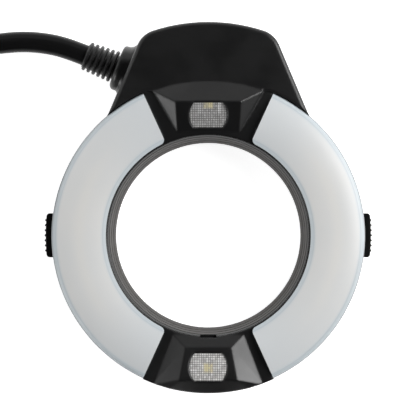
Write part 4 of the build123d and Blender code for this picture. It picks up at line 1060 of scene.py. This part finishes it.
def make_floor():
    """A wide pale floor under the flash."""
    deselect_all()
    bpy.ops.mesh.primitive_plane_add(size=FLOOR_SIZE, location=(0, 0, FLOOR_LEVEL))
    floor = bpy.context.object
    floor.name = "floor"
    pale = bpy.data.materials.new("floor_pale")
    pale.use_nodes = True
    tree = pale.node_tree
    shader = tree.nodes["Principled BSDF"]
    shader.inputs["Base Color"].default_value = (FLOOR_PALE, FLOOR_PALE, FLOOR_PALE, 1)
    shader.inputs["Roughness"].default_value = 0.9
    shader.inputs["Specular IOR Level"].default_value = 0.0
    shader.inputs["Emission Color"].default_value = (1, 1, 1, 1)
    rays = tree.nodes.new("ShaderNodeLightPath").outputs
    seen = math_node(tree, "MAXIMUM", rays["Is Camera Ray"], rays["Is Transmission Ray"])
    seen = math_node(tree, "MAXIMUM", seen, rays["Is Glossy Ray"])
    connect(tree, math_node(tree, "MULTIPLY", seen, FLOOR_LIFT), shader.inputs["Emission Strength"])
    floor.data.materials.append(pale)


make_floor()

# Softboxes: direction from the flash, distance, width, height and power
LIGHTS = {
    "right_softbox": ((0.725, 0.21, 0.655), 1.2, 0.74, 0.74, 14.0),
    "right_fill": ((0.80, -0.476, 0.366), 1.2, 0.5, 0.5, 0.4),
    "left_softbox": ((-0.84, -0.44, 0.30), 1.2, 0.6, 0.6, 4.2),
    "left_fill": ((-0.66, 0.30, 0.69), 1.2, 0.5, 0.5, 1.1),
    "hood_softbox": ((-0.25, 0.80, 0.62), 1.6, 1.2, 0.5, 0.95),
}


def make_light(name, direction, distance, width, height, power):
    """A softbox that faces the flash from a direction."""
    deselect_all()
    way = Vector(direction).normalized()
    bpy.ops.object.light_add(type="AREA", location=way * distance)
    light = bpy.context.object
    light.name = name
    light.data.shape = "RECTANGLE"
    light.data.size = width
    light.data.size_y = height
    light.data.energy = power
    light.rotation_mode = "QUATERNION"
    light.rotation_quaternion = (-way).to_track_quat("-Z", "Y")


for name, setting in LIGHTS.items():
    make_light(name, *setting)

# World: a room that is bright near the horizon, dark above and dim at the front
ROOM_BY_LEVEL = (0.42, 0.88, 0.95, 0.03)
ROOM_BY_DEPTH = (-0.85, 0.1, 0.12, 0.85)


def make_world():
    """The room, and plain white behind the flash to camera and transmission rays."""
    world = bpy.data.worlds.new("studio")
    scene.world = world
    world.use_nodes = True
    tree = world.node_tree
    backdrop = tree.nodes["Background"]
    rays = tree.nodes.new("ShaderNodeLightPath").outputs
    parts = parts_node(tree, tree.nodes.new("ShaderNodeTexCoord").outputs["Generated"])
    by_level = range_node(tree, parts["Z"], *ROOM_BY_LEVEL)
    by_depth = range_node(tree, parts["Y"], *ROOM_BY_DEPTH)
    room = math_node(tree, "MULTIPLY", by_level, by_depth)
    seen = math_node(tree, "MAXIMUM", rays["Is Camera Ray"], rays["Is Transmission Ray"])
    backdrop.inputs["Color"].default_value = (1, 1, 1, 1)
    connect(tree, math_node(tree, "MAXIMUM", room, seen), backdrop.inputs["Strength"])


make_world()
